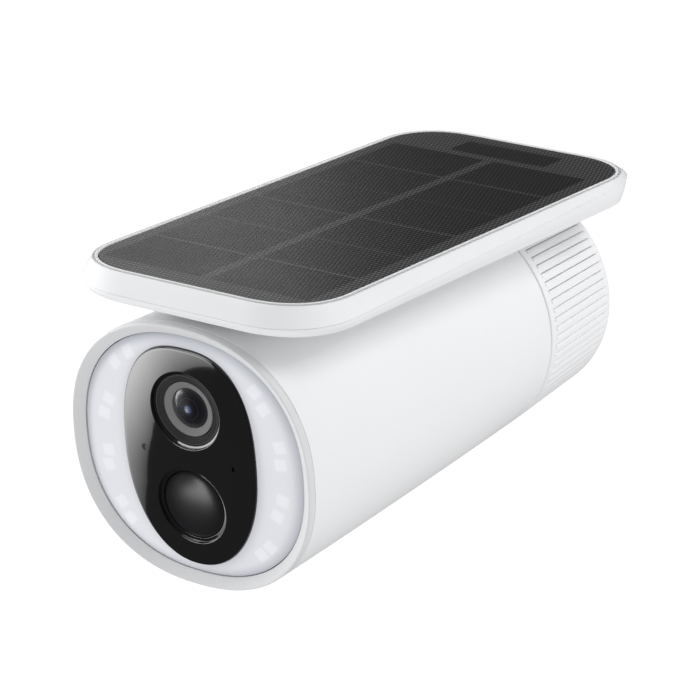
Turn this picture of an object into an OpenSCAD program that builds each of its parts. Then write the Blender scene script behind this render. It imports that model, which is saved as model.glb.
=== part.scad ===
// Solar-powered security camera: a tapered barrel with a floodlight face and a fluted rear collar,
// under a solar panel that turns on a low post.
// Origin: centre of the tripod thread's mouth on the rear plate. -Y is the front, +Z is up. Millimetres.

/* [Camera body] */
// Length from the rim of the face to the rear of the collar
body_len = 171; // [165:1:180]
// Width of the bezel at the face
face_w = 77.2; // [76.6:0.1:77.6]
// Height of the bezel at the face
face_h = 76; // [75.4:0.1:76.4]
// Squareness of the face outline, where 2 is an ellipse
face_square = 2.27; // [2.1:0.01:2.4]
// Lean of the face, top forward, in degrees
face_rake = 4.9; // [4:0.1:6]
// Height of the face centre above the barrel's axis
face_rise = 1.5; // [1:0.1:2]
// Thickness of the barrel's wall
wall = 2; // [1.8:0.1:2.2]

/* [Rear collar] */
// Radius where the barrel meets the collar
seam_r = 35.1; // [35:0.1:35.4]
// Length of the collar
collar_len = 40; // [38:1:42]
// Radius of the collar at its rear edge
collar_end_r = 33.1; // [33:0.1:33.4]
// Number of flutes round the collar
flutes = 80; // [60:4:84]
// Depth of a flute
flute_depth = 0.6; // [0.4:0.1:0.8]

/* [Front panel] */
// Width of the black front panel
glass_w = 42.8; // [42:0.1:43.4]
// Height of the black front panel
glass_h = 63.6; // [63:0.1:64]
// Distance of the lens and of the motion sensor from the panel's middle
eye_gap = 14; // [13.6:0.1:14.2]
// Radius of the lens opening
lens_open_r = 10.3; // [10:0.1:10.4]
// Radius of the motion sensor's opening
pir_open_r = 9.9; // [9.6:0.1:10]
// Number of floodlight LEDs on each side
leds_side = 8; // [8:2:8]

/* [Solar panel] */
// Width of the solar laminate
laminate_w = 75; // [74:0.5:75.5]
// Length of the solar laminate
laminate_l = 174; // [172:1:175]
// Height of the panel from its lower face to the laminate
panel_t = 8.3; // [8:0.1:8.4]
// Slope of the panel against the barrel's axis, in degrees
panel_slope = 2.4; // [2.2:0.1:2.6]
// Columns of cells
cell_cols = 2; // [2:1:2]
// Rows of cells
cell_rows = 6; // [5:1:7]

/* [Hidden] */
gap = 0.1;                     // clearance between pieces that are fixed together
run = 0.35;                    // clearance between pieces that move past each other
seam_y = -collar_len - 0.3;    // where the barrel ends and the collar starts
face_y = 2 - body_len;         // centre of the diffuser's edge line
face_a = face_w / 2;
face_b = face_h / 2;
bezel_in = 3.25;               // bezel's width from its outer edge to the diffuser
diff_a = face_a - bezel_in;    // half sizes of the diffuser's edge line
diff_b = face_b - bezel_in;
bezel_w = 2.6;                 // visible depth of the bezel ring
bezel_back = 2 - bezel_w;      // rear of the bezel's outer side, from the edge line
neck_r = 30.6;                   // neck inside the collar
neck_in_r = 28.4;
neck_end = -8;                 // rear end of the neck
collar_in_r = 31.9;
lip_r = 29.3;                  // opening at the rear of the collar
flange_r = 30.8;               // flange of the end plate
lug_arc = 36;                  // each bayonet lug, in degrees
lug_count = 4;
lock_turn = 45;                // turn that frees the collar
glass_front = 2.3;             // front face of the black panel, from the edge line
pivot_y = -83.3;               // middle of the panel over the barrel
panel_z = 46.4;                // height of the laminate's face there
post_r = 12;
contact_r = 3.9;                // circle of the spring contacts in the hollow post
seat_z = -panel_t - 0.9;       // swivel seat's face under the laminate, in the panel's frame
crease_slope = 1.36;           // lean of the parting line between panel frame and base
crease_z = -3.45;              // its depth at the panel's middle
lip_w = 1.2;                   // bright lip round the laminate
flare_front = 4.15;            // panel frame's overhang past the laminate
flare_rear = 3.4;
port_z = -15;                  // rubber cover's middle on the rear plate
button_z = 16;
button_x = 9;
button_r = 4;
steps = 96;                    // points round a smooth outline

// ---- outlines ----
function sgn(v) = v < 0 ? -1 : 1;
// superellipse with half sizes a and b and exponent n
function squircle(a, b, n = face_square) = [for (i = [0 : steps - 1]) let (t = 360 * i / steps)
    [a * sgn(cos(t)) * pow(abs(cos(t)), 2 / n), b * sgn(sin(t)) * pow(abs(sin(t)), 2 / n)]];
// the black panel's oval: squarer above its middle than below
function oval(a, b) = [for (i = [0 : steps - 1]) let (t = 360 * i / steps, n = sin(t) > 0 ? 2.6 : 2.12)
    [a * sgn(cos(t)) * pow(abs(cos(t)), 2 / n), b * sgn(sin(t)) * pow(abs(sin(t)), 2 / n)]];
// rounded rectangle with soft corners, half sizes a and b, corner reach r
function soft_rect(a, b, r, n = 2.3, k = 10) = [for (q = [0 : 3], i = [0 : k]) let (t = 90 * q + 90 * i / k,
    sx = (q == 0 || q == 3) ? 1 : -1, sy = q < 2 ? 1 : -1)
    [sx * (a - r + r * pow(abs(cos(t)), 2 / n)), sy * (b - r + r * pow(abs(sin(t)), 2 / n))]];

module slice(points) { linear_extrude(height = 0.1) polygon(points); }
module prism(points, h) { linear_extrude(height = h) polygon(points); }
module ring(r_out, r_in, h) {
    difference() {
        cylinder(r = r_out, h = h, $fn = 96);
        translate([0, 0, -1]) cylinder(r = r_in, h = h + 2, $fn = 96);
    }
}
// places: along the barrel's axis, on the face, on the rear plate, in the panel's frame
module axis_at(y) { translate([0, y, 0]) rotate([90, 0, 0]) children(); }
module face(w = 0) { translate([0, face_y, face_rise]) rotate([90 + face_rake, 0, 0]) translate([0, 0, w]) children(); }
module rear(y, x = 0, z = 0) { translate([x, y, z]) rotate([-90, 0, 0]) children(); }
module panel(z = 0) { translate([0, pivot_y, panel_z]) rotate([-panel_slope, 0, 0]) translate([0, 0, z]) children(); }

// ---- camera body ----
module barrel_shell() color("white") difference() {
    union() {
        barrel_wall();
        panel(-panel_t - 7.8) cylinder(r = post_r + 3.9, h = 5.6, $fn = 64);
    }
    panel(-40) cylinder(r = post_r + run, h = 40, $fn = 96);
}
module barrel_wall() difference() {
    union() {
        hull() {
            face(bezel_back - 0.3) slice(squircle(face_a - 0.05, face_b - 0.05));
            axis_at(seam_y) cylinder(r = seam_r, h = 0.1, $fn = 96);
        }
        axis_at(neck_end) cylinder(r = neck_r, h = neck_end - seam_y + 2, $fn = 96);
        neck_lugs();
        panel(seat_z - 6) cylinder(r = post_r + 4, h = 6, $fn = 64);
    }
    hull() {
        face(bezel_back) slice(squircle(face_a - wall, face_b - wall));
        axis_at(seam_y - 3) cylinder(r = seam_r - 2.8, h = 0.1, $fn = 96);
    }
    face(-7) prism(squircle(face_a - wall - 0.03, face_b - wall - 0.03), 9);
    axis_at(0) cylinder(r = neck_in_r, h = 48, $fn = 96);
    speaker_slots();
}
module neck_lugs() axis_at(-17) for (k = [0 : lug_count - 1]) rotate(90 * k)
    rotate_extrude(angle = lug_arc, $fn = 96) translate([neck_r - 0.5, 0]) square([1.5, 3]);
module speaker_slots() for (i = [-3 : 3]) translate([4 * i - 0.75, -150, -45]) cube([1.5, 18, 20]);

module bezel_ring() color("whitesmoke") difference() {
    union() {
        hull() {
            face(bezel_back) prism(squircle(face_a, face_b), 1.8);
            face(1.9) slice(squircle(face_a - 0.5, face_b - 0.5));
        }
        face(-5) prism(squircle(face_a - wall - 0.4, face_b - wall - 0.4), 5.2);
    }
    face(-6) prism(squircle(diff_a - 0.03, diff_b - 0.03), 6.2);
    hull() {
        face(0) slice(squircle(diff_a, diff_b));
        face(2.2) slice(squircle(face_a - 0.8, face_b - 0.8));
    }
}
module front_gasket() color("dimgray") difference() {
    face(-6.1) prism(squircle(face_a - wall - 0.5, face_b - wall - 0.5), 1);
    face(-7) prism(squircle(diff_a, diff_b), 3);
}
module diffuser_ring() color("lavender") difference() {
    hull() {
        face(-4) prism(squircle(diff_a - 0.12, diff_b - 0.12), 3.6);
        face(0.2) slice(squircle(diff_a - 1.6, diff_b - 1.6));
        face(0.8) slice(squircle(diff_a - 5, diff_b - 4));
    }
    face(-5) prism(oval(glass_w / 2 - 1.5, glass_h / 2 - 1.5), 8);
    face(0.28) prism(oval(glass_w / 2 + 0.1, glass_h / 2 + 0.1), 4);
    face(-5) prism(squircle(diff_a - 2, diff_b - 2), 3.4);
}
module front_panel() color([0.05, 0.05, 0.06]) difference() {
    union() {
        hull() {
            face(0.3) prism(oval(glass_w / 2, glass_h / 2), 1.2);
            face(1.95) slice(oval(glass_w / 2 - 0.6, glass_h / 2 - 0.6));
            face(glass_front - 0.1) slice(oval(glass_w / 2 - 1.6, glass_h / 2 - 1.6));
        }
        face(-3.4) prism(oval(glass_w / 2 - 1.7, glass_h / 2 - 1.7), 4);
    }
    face(-5) translate([0, eye_gap, 0]) cylinder(r = lens_open_r, h = 9, $fn = 96);
    face(glass_front - 0.6) translate([0, eye_gap, 0]) cylinder(r1 = lens_open_r, r2 = lens_open_r + 0.7, h = 0.7, $fn = 96);
    face(-5) translate([0, -eye_gap, 0]) cylinder(r = pir_open_r, h = 9, $fn = 96);
    face(glass_front - 1) translate([0, -eye_gap, 0]) cylinder(r1 = pir_open_r, r2 = pir_open_r + 1.1, h = 1.1, $fn = 96);
    face(-5) translate([glass_w / 3, 0, 0]) cylinder(r = 0.7, h = 9, $fn = 24);
    face(-5) translate([-glass_w / 3, 0, 0]) cylinder(r = 1.2, h = 9, $fn = 24);
}
// ribbed cone round the lens
module lens_baffle() color([0.12, 0.12, 0.13]) face() translate([0, eye_gap, 0]) rotate_extrude($fn = 96)
    polygon(concat([[lens_open_r - gap, -7], [lens_open_r - gap, 1.9], [9.6, 1.9]],
        [for (k = [0 : 4], s = [0, 1]) [9.5 - 0.3 * k, 1.75 - 0.28 * (k + s)]], [[8, 0.3], [8, -7]]));
module lens_retainer() color([0.3, 0.3, 0.32]) face() translate([0, eye_gap, 0]) rotate_extrude($fn = 96)
    polygon([[7.9, -7], [7.9, 0.5], [7.5, 0.5], [5.9, -0.2], [5.9, -0.6], [6.6, -0.6], [6.6, -7]]);
module front_lens() color("black") face() translate([0, eye_gap, 0]) rotate_extrude($fn = 96)
    polygon(concat([[0, -1.9], [6.4, -1.9], [6.4, -0.7], [5.8, -0.7]],
        [for (k = [0 : 8]) let (r = 5.7 - 5.7 * k / 8) [r, -0.55 + 1.15 * (1 - r * r / 32.5)]]));
module lens_barrel() color("dimgray") face() translate([0, eye_gap, -16]) cylinder(r = 6.4, h = 14, $fn = 64);
module sensor_board() color("darkgreen") face(-17.6) translate([-14, eye_gap - 11, 0]) cube([28, 24, 1.5]);
module pir_dome() color([0.06, 0.06, 0.07]) face() translate([0, -eye_gap, 0]) rotate_extrude($fn = 96)
    polygon(concat([[0, -6], [8.6, -6], [8.6, -5], [9.7, -5], [9.7, -1.2]],
        [for (k = [1 : 10]) let (t = 9 * k) [9.7 * cos(t), -1.2 + 2.6 * sin(t)]]));
module pir_sensor() color("silver") face(-12) translate([0, -eye_gap, 0]) cylinder(r = 4.6, h = 4.5, $fn = 48);
module light_window() color("gray") face(0.4) translate([-glass_w / 3, 0, 0]) cylinder(r = 1.1, h = 1.8, $fn = 24);
module microphone() color("gold") face(-7) translate([glass_w / 3, 0, 0]) cylinder(r = 2, h = 2.5, $fn = 24);
module led_board() color("white") difference() {
    face(-8.4) prism(squircle(diff_a - 2.4, diff_b - 2.4), 1.2);
    face(-9) prism(oval(15, 26), 3);
}
// emitters sit in pairs on each side
module led_emitters() color("khaki") for (side = [-1, 1], row = [0 : leds_side - 1])
    let (up = row - (leds_side - 1) / 2, turn = sgn(up) * (abs(up) < leds_side / 4 ? 4 + 9 * abs(up) : 21 + 9 * abs(up)))
    face(-7.15) rotate(side > 0 ? turn : 180 - turn) translate([28, 0, 0])
    translate([-1.5, -1.5, 0]) cube([3, 3, 0.8]);
module front_carrier() color("dimgray") difference() {
    face(-10.6) prism(squircle(diff_a - 0.6, diff_b - 0.6), 2);
    face(-12) translate([0, eye_gap, 0]) cylinder(r = 8.4, h = 5, $fn = 48);
    face(-12) translate([0, -eye_gap, 0]) cylinder(r = 5, h = 5, $fn = 48);
    screw_places(-13) cylinder(r = 1.3, h = 6, $fn = 24);
}
module screw_places(w) for (a = [20, 160, 200, 340]) face(w) rotate(a) translate([31, 0, 0]) children();
module carrier_screws() color("silver") screw_places(-17) {
    cylinder(r = 1.15, h = 8.4, $fn = 24);
}

// ---- inside the barrel ----
module chassis() color("gray") difference() {
    union() {
        translate([-24, -146, 15.5]) cube([48, 96, 2]);
        for (x = [-24, 22]) translate([x, -146, -16]) cube([2, 96, 31.6]);
        panel(-30) cylinder(r = contact_r + 0.6, h = 12, $fn = 48);
    }
    for (y = [-136, -66]) translate([-14, y, 14]) cube([28, 14, 5]);
}
module main_board() color("darkgreen") translate([-21, -144, 11.5]) cube([42, 98, 1.6]);
module shield_cans() color("silver") {
    translate([-15, -138, 8.5]) cube([22, 24, 2.9]);
    translate([-12, -106, 8.9]) cube([16, 18, 2.5]);
}
module battery_tray() color("dimgray") difference() {
    translate([-21.5, -119, -15]) cube([43, 72, 12]);
    translate([-19.5, -117, -13.4]) cube([39, 68, 12]);
}
module battery_cells() color("steelblue") for (s = [-1, 1]) translate([9.6 * s, -50, -4])
    rotate([90, 0, 0]) cylinder(r = 9.2, h = 65, $fn = 48);
module speaker() color("black") {
    translate([0, -141, -30]) cylinder(r = 13, h = 5, $fn = 48);
    translate([0, -141, -25]) cylinder(r = 7, h = 5, $fn = 48);
}
module antenna() color("goldenrod") {
    translate([24.6, -130, -5]) cube([0.4, 40, 10]);
    translate([-25, -130, -5]) cube([0.4, 40, 10]);
}

// ---- rear plate and what it carries ----
module end_plate() color("gainsboro") difference() {
    union() {
        rear(-7.4) cylinder(r = flange_r, h = 3.1, $fn = 96);
        rear(-4.4) cylinder(r = lip_r - run, h = 3.9, $fn = 96);
        rear(-12) cylinder(r = 27.8, h = 5, $fn = 96);
        rear(-16) cylinder(r = 8, h = 16, $fn = 64);
    }
    rear(-17) cylinder(r = 4.6, h = 18, $fn = 48);
    for (s = [-1, 1]) rear(-13, s * button_x, button_z) cylinder(r = button_r + 0.25, h = 14, $fn = 48);
    // pocket for the rubber cover, and the socket's and the card slot's windows
    rear(-2.9, 0, port_z) prism(soft_rect(14, 6.5, 5), 4);
    translate([-9.6, -13, port_z - 1.8]) cube([9.2, 12, 3.6]);
    translate([2.6, -13, port_z - 0.9]) cube([9.4, 12, 1.8]);
    end_screw_places(-13) cylinder(r = 1.3, h = 14, $fn = 24);
    end_screw_places(-2.3) cylinder(r = 2.7, h = 4, $fn = 24);
}
module end_screw_places(y) for (a = [0, 180]) rear(y, 22 * cos(a), 22 * sin(a)) children();
module end_screws() color("silver") end_screw_places(-15) {
    cylinder(r = 1.2, h = 12.7, $fn = 24);
    translate([0, 0, 12.7]) cylinder(r = 2.5, h = 1.5, $fn = 24);
}
// brass insert with the tripod thread, drawn at its pitch size
module tripod_insert() color("goldenrod") rear(-12) difference() {
    cylinder(r = 4.6, h = 12, $fn = 48);
    translate([0, 0, 1.5]) cylinder(r = 3, h = 12, $fn = 48);
}
module end_seal() color("black") rear(-7.95) ring(30.3, 28.9, 0.5);
module usb_socket() color("silver") difference() {
    translate([-9.47, -10.5, port_z - 1.67]) cube([8.94, 7.3, 3.34]);
    translate([-9.1, -9, port_z - 1.3]) cube([8.2, 7, 2.6]);
}
module card_slot() color("silver") difference() {
    translate([2.1, -19, port_z - 1.3]) cube([10.4, 6.8, 2.6]);
    translate([2.7, -18, port_z - 0.8]) cube([9.2, 7, 1.6]);
}
module port_cover() color("darkgray") {
    rear(-2.75, 0, port_z) prism(soft_rect(13.7, 6.2, 4.8), 2);
    translate([-9, -3.6, port_z - 1]) cube([8, 1, 2]);
}
module button_at(s) rear(-3.4, s * button_x, button_z) {
    cylinder(r = button_r, h = 3.3, $fn = 48);
    translate([0, 0, -1.2]) cylinder(r = 1.6, h = 1.3, $fn = 32);
}
module power_button() color("darkgray") button_at(-1);
module sync_button() color("gray") button_at(1);
module button_switches() color("silver") for (s = [-1, 1]) rear(-11.6, s * button_x, button_z) {
    translate([-2.9, -2.9, 0]) cube([5.8, 5.8, 3.4]);
    cylinder(r = 1.5, h = 6, $fn = 32);
}
module rear_collar() color("white") {
    collar_body();
    collar_lugs();
}
module collar_body() difference() {
    axis_at(0) rotate_extrude($fn = 96) polygon(concat(
        [[lip_r, 3.9], [lip_r, 0]],
        [for (k = [0 : 6]) let (t = 15 * k) [collar_end_r - 3 + 3 * sin(t), 3 - 3 * cos(t)]],
        [[seam_r - 0.15, collar_len - 0.3], [seam_r - 0.45, collar_len], [collar_in_r, collar_len],
        [collar_in_r, 3.9]]));
    for (k = [0 : flutes - 1]) flute(360 * k / flutes);
}
// bayonet lugs on the collar, in front of the neck's lugs while it is locked
module collar_lugs() axis_at(-20.4) for (k = [0 : lug_count - 1]) rotate(90 * k)
    rotate_extrude(angle = lug_arc, $fn = 96) translate([neck_r + run, 0]) square([collar_in_r - neck_r, 3]);
// one recess: a shallow slot along the cone, half a pitch wide
module flute(turn) let (lean = atan((seam_r - collar_end_r) / (collar_len - 3)), half = 180 / flutes)
    rotate([0, turn, 0]) translate([collar_end_r - flute_depth, -4.2, 0]) rotate([0, 0, lean])
    translate([0, -(collar_len - 7.4), 0]) cube([3, collar_len - 7.4, 2 * PI * collar_end_r * half / 360]);

// ---- solar panel ----
// outline of the panel frame at the parting line, wider at the front
function frame_points(extra = 0) = [for (p = soft_rect(laminate_w / 2, laminate_l / 2, 19))
    let (t = (p[1] + laminate_l / 2) / laminate_l, f = flare_front * (1 - t) + flare_rear * t + extra)
    [p[0] * (1 + 2 * f / laminate_w), p[1] * (1 + 2 * f / laminate_l)]];
module crease(z = 0) panel(crease_z + z) rotate([crease_slope, 0, 0]) children();
module panel_frame() color("white") difference() {
    hull() {
        panel(0.15) slice(soft_rect(laminate_w / 2 + lip_w, laminate_l / 2 + lip_w, 20));
        crease() slice(frame_points());
    }
    panel(-1.8) prism(soft_rect(laminate_w / 2 + gap, laminate_l / 2 + gap, 19), 4);
    panel(-10) prism(soft_rect(laminate_w / 2 - 1, laminate_l / 2 - 1, 18), 12);
}
module panel_base() color("white") difference() {
    hull() {
        crease(-0.2) slice(frame_points(-0.7));
        panel(-panel_t + 1.2) slice(frame_points(-2));
        panel(-panel_t) slice(frame_points(-3.2));
    }
    panel(-panel_t + 2) prism(soft_rect(laminate_w / 2 - 2, laminate_l / 2 - 2, 17), 12);
    panel(-1.8) prism(soft_rect(laminate_w / 2 + 0.6, laminate_l / 2 + 0.6, 19), 4);
    panel(-panel_t - 1) cylinder(r = 5, h = 4, $fn = 48);
    panel_screw_places(-panel_t - 1) cylinder(r = 2.6, h = 2, $fn = 24);
    swivel_screw_places(-panel_t - 1) cylinder(r = 1.15, h = 4, $fn = 24);
}
module solar_laminate() color([0.1, 0.1, 0.11])
    panel(-1.7) prism(soft_rect(laminate_w / 2, laminate_l / 2, 19), 1.7);
module solar_cells() color("midnightblue") for (c = [0 : cell_cols - 1], r = [0 : cell_rows - 1])
    panel(-2.2) translate([-33 + 34.4 * c, 7.2 - laminate_l / 2 + 145.2 / cell_rows * r, 0])
    cube([31.4, 145.2 / cell_rows - 1, 0.4]);
module cell_backing() color("tan") panel(-3.4)
    prism(soft_rect(laminate_w / 2 - 2.3, laminate_l / 2 - 2.3, 16), 1.1);
module junction_block() color("black") panel(-6.2) translate([-16.2, laminate_l / 2 - 18.5, 0])
    cube([32.4, 11.4, 2.6]);
module contact_board() color("darkgreen") panel(-panel_t + 2.1) difference() {
    cylinder(r = 10.5, h = 1.2, $fn = 48);
    translate([0, 0, -1]) cylinder(r = 2.5, h = 4, $fn = 32);
    for (a = [30, 150, 270]) rotate(a) translate([8, 0, -1]) cylinder(r = 2.4, h = 4, $fn = 24);
}
module panel_screw_places(z) for (sx = [-1, 1], sy = [-1, 1]) panel(z) translate([30 * sx, 72 * sy, 0]) children();
module panel_screws() color("silver") panel_screw_places(-panel_t + 0.1) cylinder(r = 2.4, h = 0.8, $fn = 24);
module swivel_screw_places(z) for (a = [30, 150, 270]) panel(z) rotate(a) translate([8, 0, 0]) children();
module swivel_screws() color("silver") {
    swivel_screw_places(-panel_t - 4.9) cylinder(r = 1.1, h = 7.9, $fn = 24);
    swivel_screw_places(-panel_t + 2.05) cylinder(r = 2.1, h = 1.6, $fn = 24);
}
// hollow post under the panel, through the barrel's roof, with a ring that holds it from inside
module swivel_post() color("gainsboro") difference() {
    panel(-panel_t - 12) cylinder(r = post_r, h = 11.95, $fn = 96);
    panel(-panel_t - 13) cylinder(r = 5, h = 14, $fn = 48);
    swivel_screw_places(-panel_t - 5) cylinder(r = 1.15, h = 6, $fn = 24);
    panel(-panel_t - 10.05) ring(post_r + 1, post_r - 1.2, 1.3);
}
module swivel_washer() color("ivory") panel(-panel_t - 8.7) ring(post_r + 2.4, post_r + run, 0.8);
module swivel_ring() color("silver") panel(-panel_t - 9.9) ring(post_r + 3, post_r - 1.1, 1);
module spring_contacts() color("gold") for (a = [0, 120, 240]) panel(-17.95) rotate(a)
    translate([contact_r - 0.1, 0, 0]) cylinder(r = 0.5, h = 11.3, $fn = 24);

barrel_shell();
bezel_ring();
front_gasket();
diffuser_ring();
front_panel();
lens_baffle();
lens_retainer();
front_lens();
lens_barrel();
sensor_board();
pir_dome();
pir_sensor();
light_window();
microphone();
led_board();
led_emitters();
front_carrier();
carrier_screws();
chassis();
main_board();
shield_cans();
battery_tray();
battery_cells();
speaker();
antenna();
end_plate();
tripod_insert();
end_seal();
end_screws();
usb_socket();
card_slot();
port_cover();
power_button();
sync_button();
button_switches();
rear_collar();
spring_contacts();
panel_frame();
panel_base();
solar_laminate();
solar_cells();
cell_backing();
junction_block();
swivel_post();
swivel_ring();
swivel_washer();
contact_board();
panel_screws();
swivel_screws();
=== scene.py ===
"""Looks of a solar-powered security camera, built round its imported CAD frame.

Sizes are millimetres in the classes and metres in the meshes. Every new piece is a surface worked
out as whole arrays: rings of points carried along a profile, closed into solids.
"""

import logging
import math
from collections.abc import Callable
from dataclasses import dataclass, field
from enum import Enum

import bmesh
import bpy
import numpy as np
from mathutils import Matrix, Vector

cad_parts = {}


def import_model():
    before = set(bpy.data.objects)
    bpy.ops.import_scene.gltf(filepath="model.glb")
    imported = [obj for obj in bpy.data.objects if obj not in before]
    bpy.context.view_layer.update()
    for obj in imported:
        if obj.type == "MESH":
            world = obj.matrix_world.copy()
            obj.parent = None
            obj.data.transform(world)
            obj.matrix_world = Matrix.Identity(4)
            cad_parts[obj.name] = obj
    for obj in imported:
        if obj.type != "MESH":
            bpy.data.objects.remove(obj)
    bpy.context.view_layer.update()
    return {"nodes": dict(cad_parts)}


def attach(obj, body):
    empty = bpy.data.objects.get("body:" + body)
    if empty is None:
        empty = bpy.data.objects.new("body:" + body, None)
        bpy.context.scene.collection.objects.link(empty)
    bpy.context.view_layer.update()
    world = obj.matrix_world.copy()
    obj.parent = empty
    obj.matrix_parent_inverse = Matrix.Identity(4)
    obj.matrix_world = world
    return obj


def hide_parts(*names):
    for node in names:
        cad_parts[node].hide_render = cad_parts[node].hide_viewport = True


MM = 0.001
FULL = 2 * math.pi
log = logging.getLogger("solar_camera")
Array = np.ndarray
Triple = tuple[float, float, float]
WELD_WITHIN = 2e-6
PANEL_SLOPE = 2.4


# ---------------------------------------------------------------- places and outlines


@dataclass(frozen=True)
class Place:
    """A flat local frame: an origin in millimetres and its three unit directions."""

    origin: Triple
    right: Triple
    up: Triple
    out: Triple

    @staticmethod
    def turned(origin: Triple, degrees: float) -> "Place":
        """A frame whose axes are turned about X.

        Args:
            origin: its origin, in millimetres.
            degrees: the turn.

        Returns:
            The frame.
        """
        c, s = math.cos(math.radians(degrees)), math.sin(math.radians(degrees))
        return Place(origin, (1, 0, 0), (0, c, s), (0, -s, c))

    def put(self, u: Array, v: Array, w: Array) -> Array:
        """Points u right, v up and w out of this frame, in millimetres of the row frame.

        Args:
            u, v, w: arrays that broadcast together.

        Returns:
            An array of the same shape with a last axis of three.
        """
        u, v, w = np.broadcast_arrays(u, v, w)
        axes = np.array([self.right, self.up, self.out])
        return np.array(self.origin) + np.stack([u, v, w], -1) @ axes

    def local(self, points: Array) -> Array:
        """Row frame points, in millimetres, as u, v, w of this frame."""
        return (points - np.array(self.origin)) @ np.array([self.right, self.up, self.out]).T


AXIS = Place.turned((0, 0, 0), 90)
FACE = Place.turned((0, -169, 1.5), 94.9)
PANEL = Place.turned((0, -83.3, 46.4), -PANEL_SLOPE)
REAR = Place((0, 0, 0), (-1, 0, 0), (0, 0, 1), (0, 1, 0))


def angles(count: int) -> Array:
    """Evenly spaced angles round a full turn."""
    return np.arange(count) * FULL / count


def superellipse(phi: Array, a: Array, b: Array, n: Array) -> tuple[Array, Array]:
    """A superellipse in polar form: the radius is (|cos/a|^n + |sin/b|^n)^(-1/n).

    Args:
        phi: polar angles.
        a, b: half width and half height.
        n: exponent, 2 for an ellipse.

    Returns:
        The two coordinates.
    """
    c, s = np.cos(phi), np.sin(phi)
    r = (np.abs(c / a) ** n + np.abs(s / b) ** n) ** (-1 / n)
    return r * c, r * s


def oval(phi: Array, a: Array, b: Array) -> tuple[Array, Array]:
    """The black panel's outline: squarer above its middle than below.

    Args:
        phi: polar angles.
        a, b: half width and half height.

    Returns:
        The two coordinates.
    """
    return superellipse(phi, a, b, np.where(np.sin(phi) > 0, 2.6, 2.12))


def soft_rectangle(half_x: Array, front: Array, rear: Array, reach: Array, per_corner: int = 20,
                   n: float = 2.3) -> tuple[Array, Array]:
    """A rectangle whose corners are quarters of a superellipse.

    Args:
        half_x: half width.
        front, rear: its two ends along y, front negative.
        reach: how far a corner reaches along each side.
        per_corner: steps round each corner.
        n: exponent of the corners.

    Returns:
        The two coordinates of the closed outline, anticlockwise.
    """
    t = np.linspace(0, math.pi / 2, per_corner + 1)
    c, s = np.cos(t) ** (2 / n), np.sin(t) ** (2 / n)
    across = np.concatenate([c, -c[::-1], -c, c[::-1]])
    along = np.concatenate([s, s[::-1], -s, -s[::-1]])
    side = np.repeat([1, -1, -1, 1], per_corner + 1)
    at_rear = np.repeat([True, True, False, False], per_corner + 1)
    x = side * (half_x - reach) + reach * across
    y = np.where(at_rear, rear - reach, front + reach) + reach * along
    return x, y


def rounded(points: list[tuple[float, float]], radii: list[float], closed: bool = False,
            steps: int = 6) -> Array:
    """A polyline with its corners rounded by arcs tangent to both sides.

    Each arc is swept from its centre between the two tangent points by interpolating the two
    radius vectors at a constant rate of turn.

    Args:
        points: the corners.
        radii: one radius for each corner, 0 for a sharp one.
        closed: whether the last corner joins the first.
        steps: points on each arc.

    Returns:
        An array of points, two columns.
    """
    p = np.array(points, float)
    r = np.maximum(np.array(radii, float), 1e-6)[:, None]
    before, after = np.roll(p, 1, 0), np.roll(p, -1, 0)
    if not closed:
        before[0], after[-1] = 2 * p[0] - after[0], 2 * p[-1] - before[-1]
    a, b = before - p, after - p
    a /= np.linalg.norm(a, axis=1, keepdims=True)
    b /= np.linalg.norm(b, axis=1, keepdims=True)
    half = np.arccos(np.clip((a * b).sum(1, keepdims=True), -0.999999, 0.999999)) / 2
    middle = (a + b) / np.maximum(np.linalg.norm(a + b, axis=1, keepdims=True), 1e-9)
    centre = p + middle * r / np.sin(half)
    first, last = p + a * r / np.tan(half) - centre, p + b * r / np.tan(half) - centre
    turn = (math.pi - 2 * half)[:, None]
    t = np.linspace(0, 1, steps)[None, :, None]
    arc = np.sin((1 - t) * turn) * first[:, None] + np.sin(t * turn) * last[:, None]
    arc /= np.sin(turn)
    path = (centre[:, None] + arc).reshape(-1, 2)
    keep = np.ones(len(path), bool)
    keep[1:] = np.linalg.norm(np.diff(path, axis=0), axis=1) > 1e-3
    return path[keep]


def smooth(low: float, high: float, x: Array) -> Array:
    """A smooth step, t^2 (3 - 2 t), where t runs from 0 at low to 1 at high.

    Args:
        low, high: where the step starts and ends; high may be the smaller.
        x: the values.

    Returns:
        The step at each value.
    """
    t = np.clip((x - low) / (high - low), 0, 1)
    return t * t * (3 - 2 * t)


# ---------------------------------------------------------------- surfaces


class Ends(Enum):
    """How the first and the last ring of a loft are closed."""

    JOINED = "the last ring joins the first"
    POLES = "each closes on a point at its middle"
    OPEN = "left for the weld to close"


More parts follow.
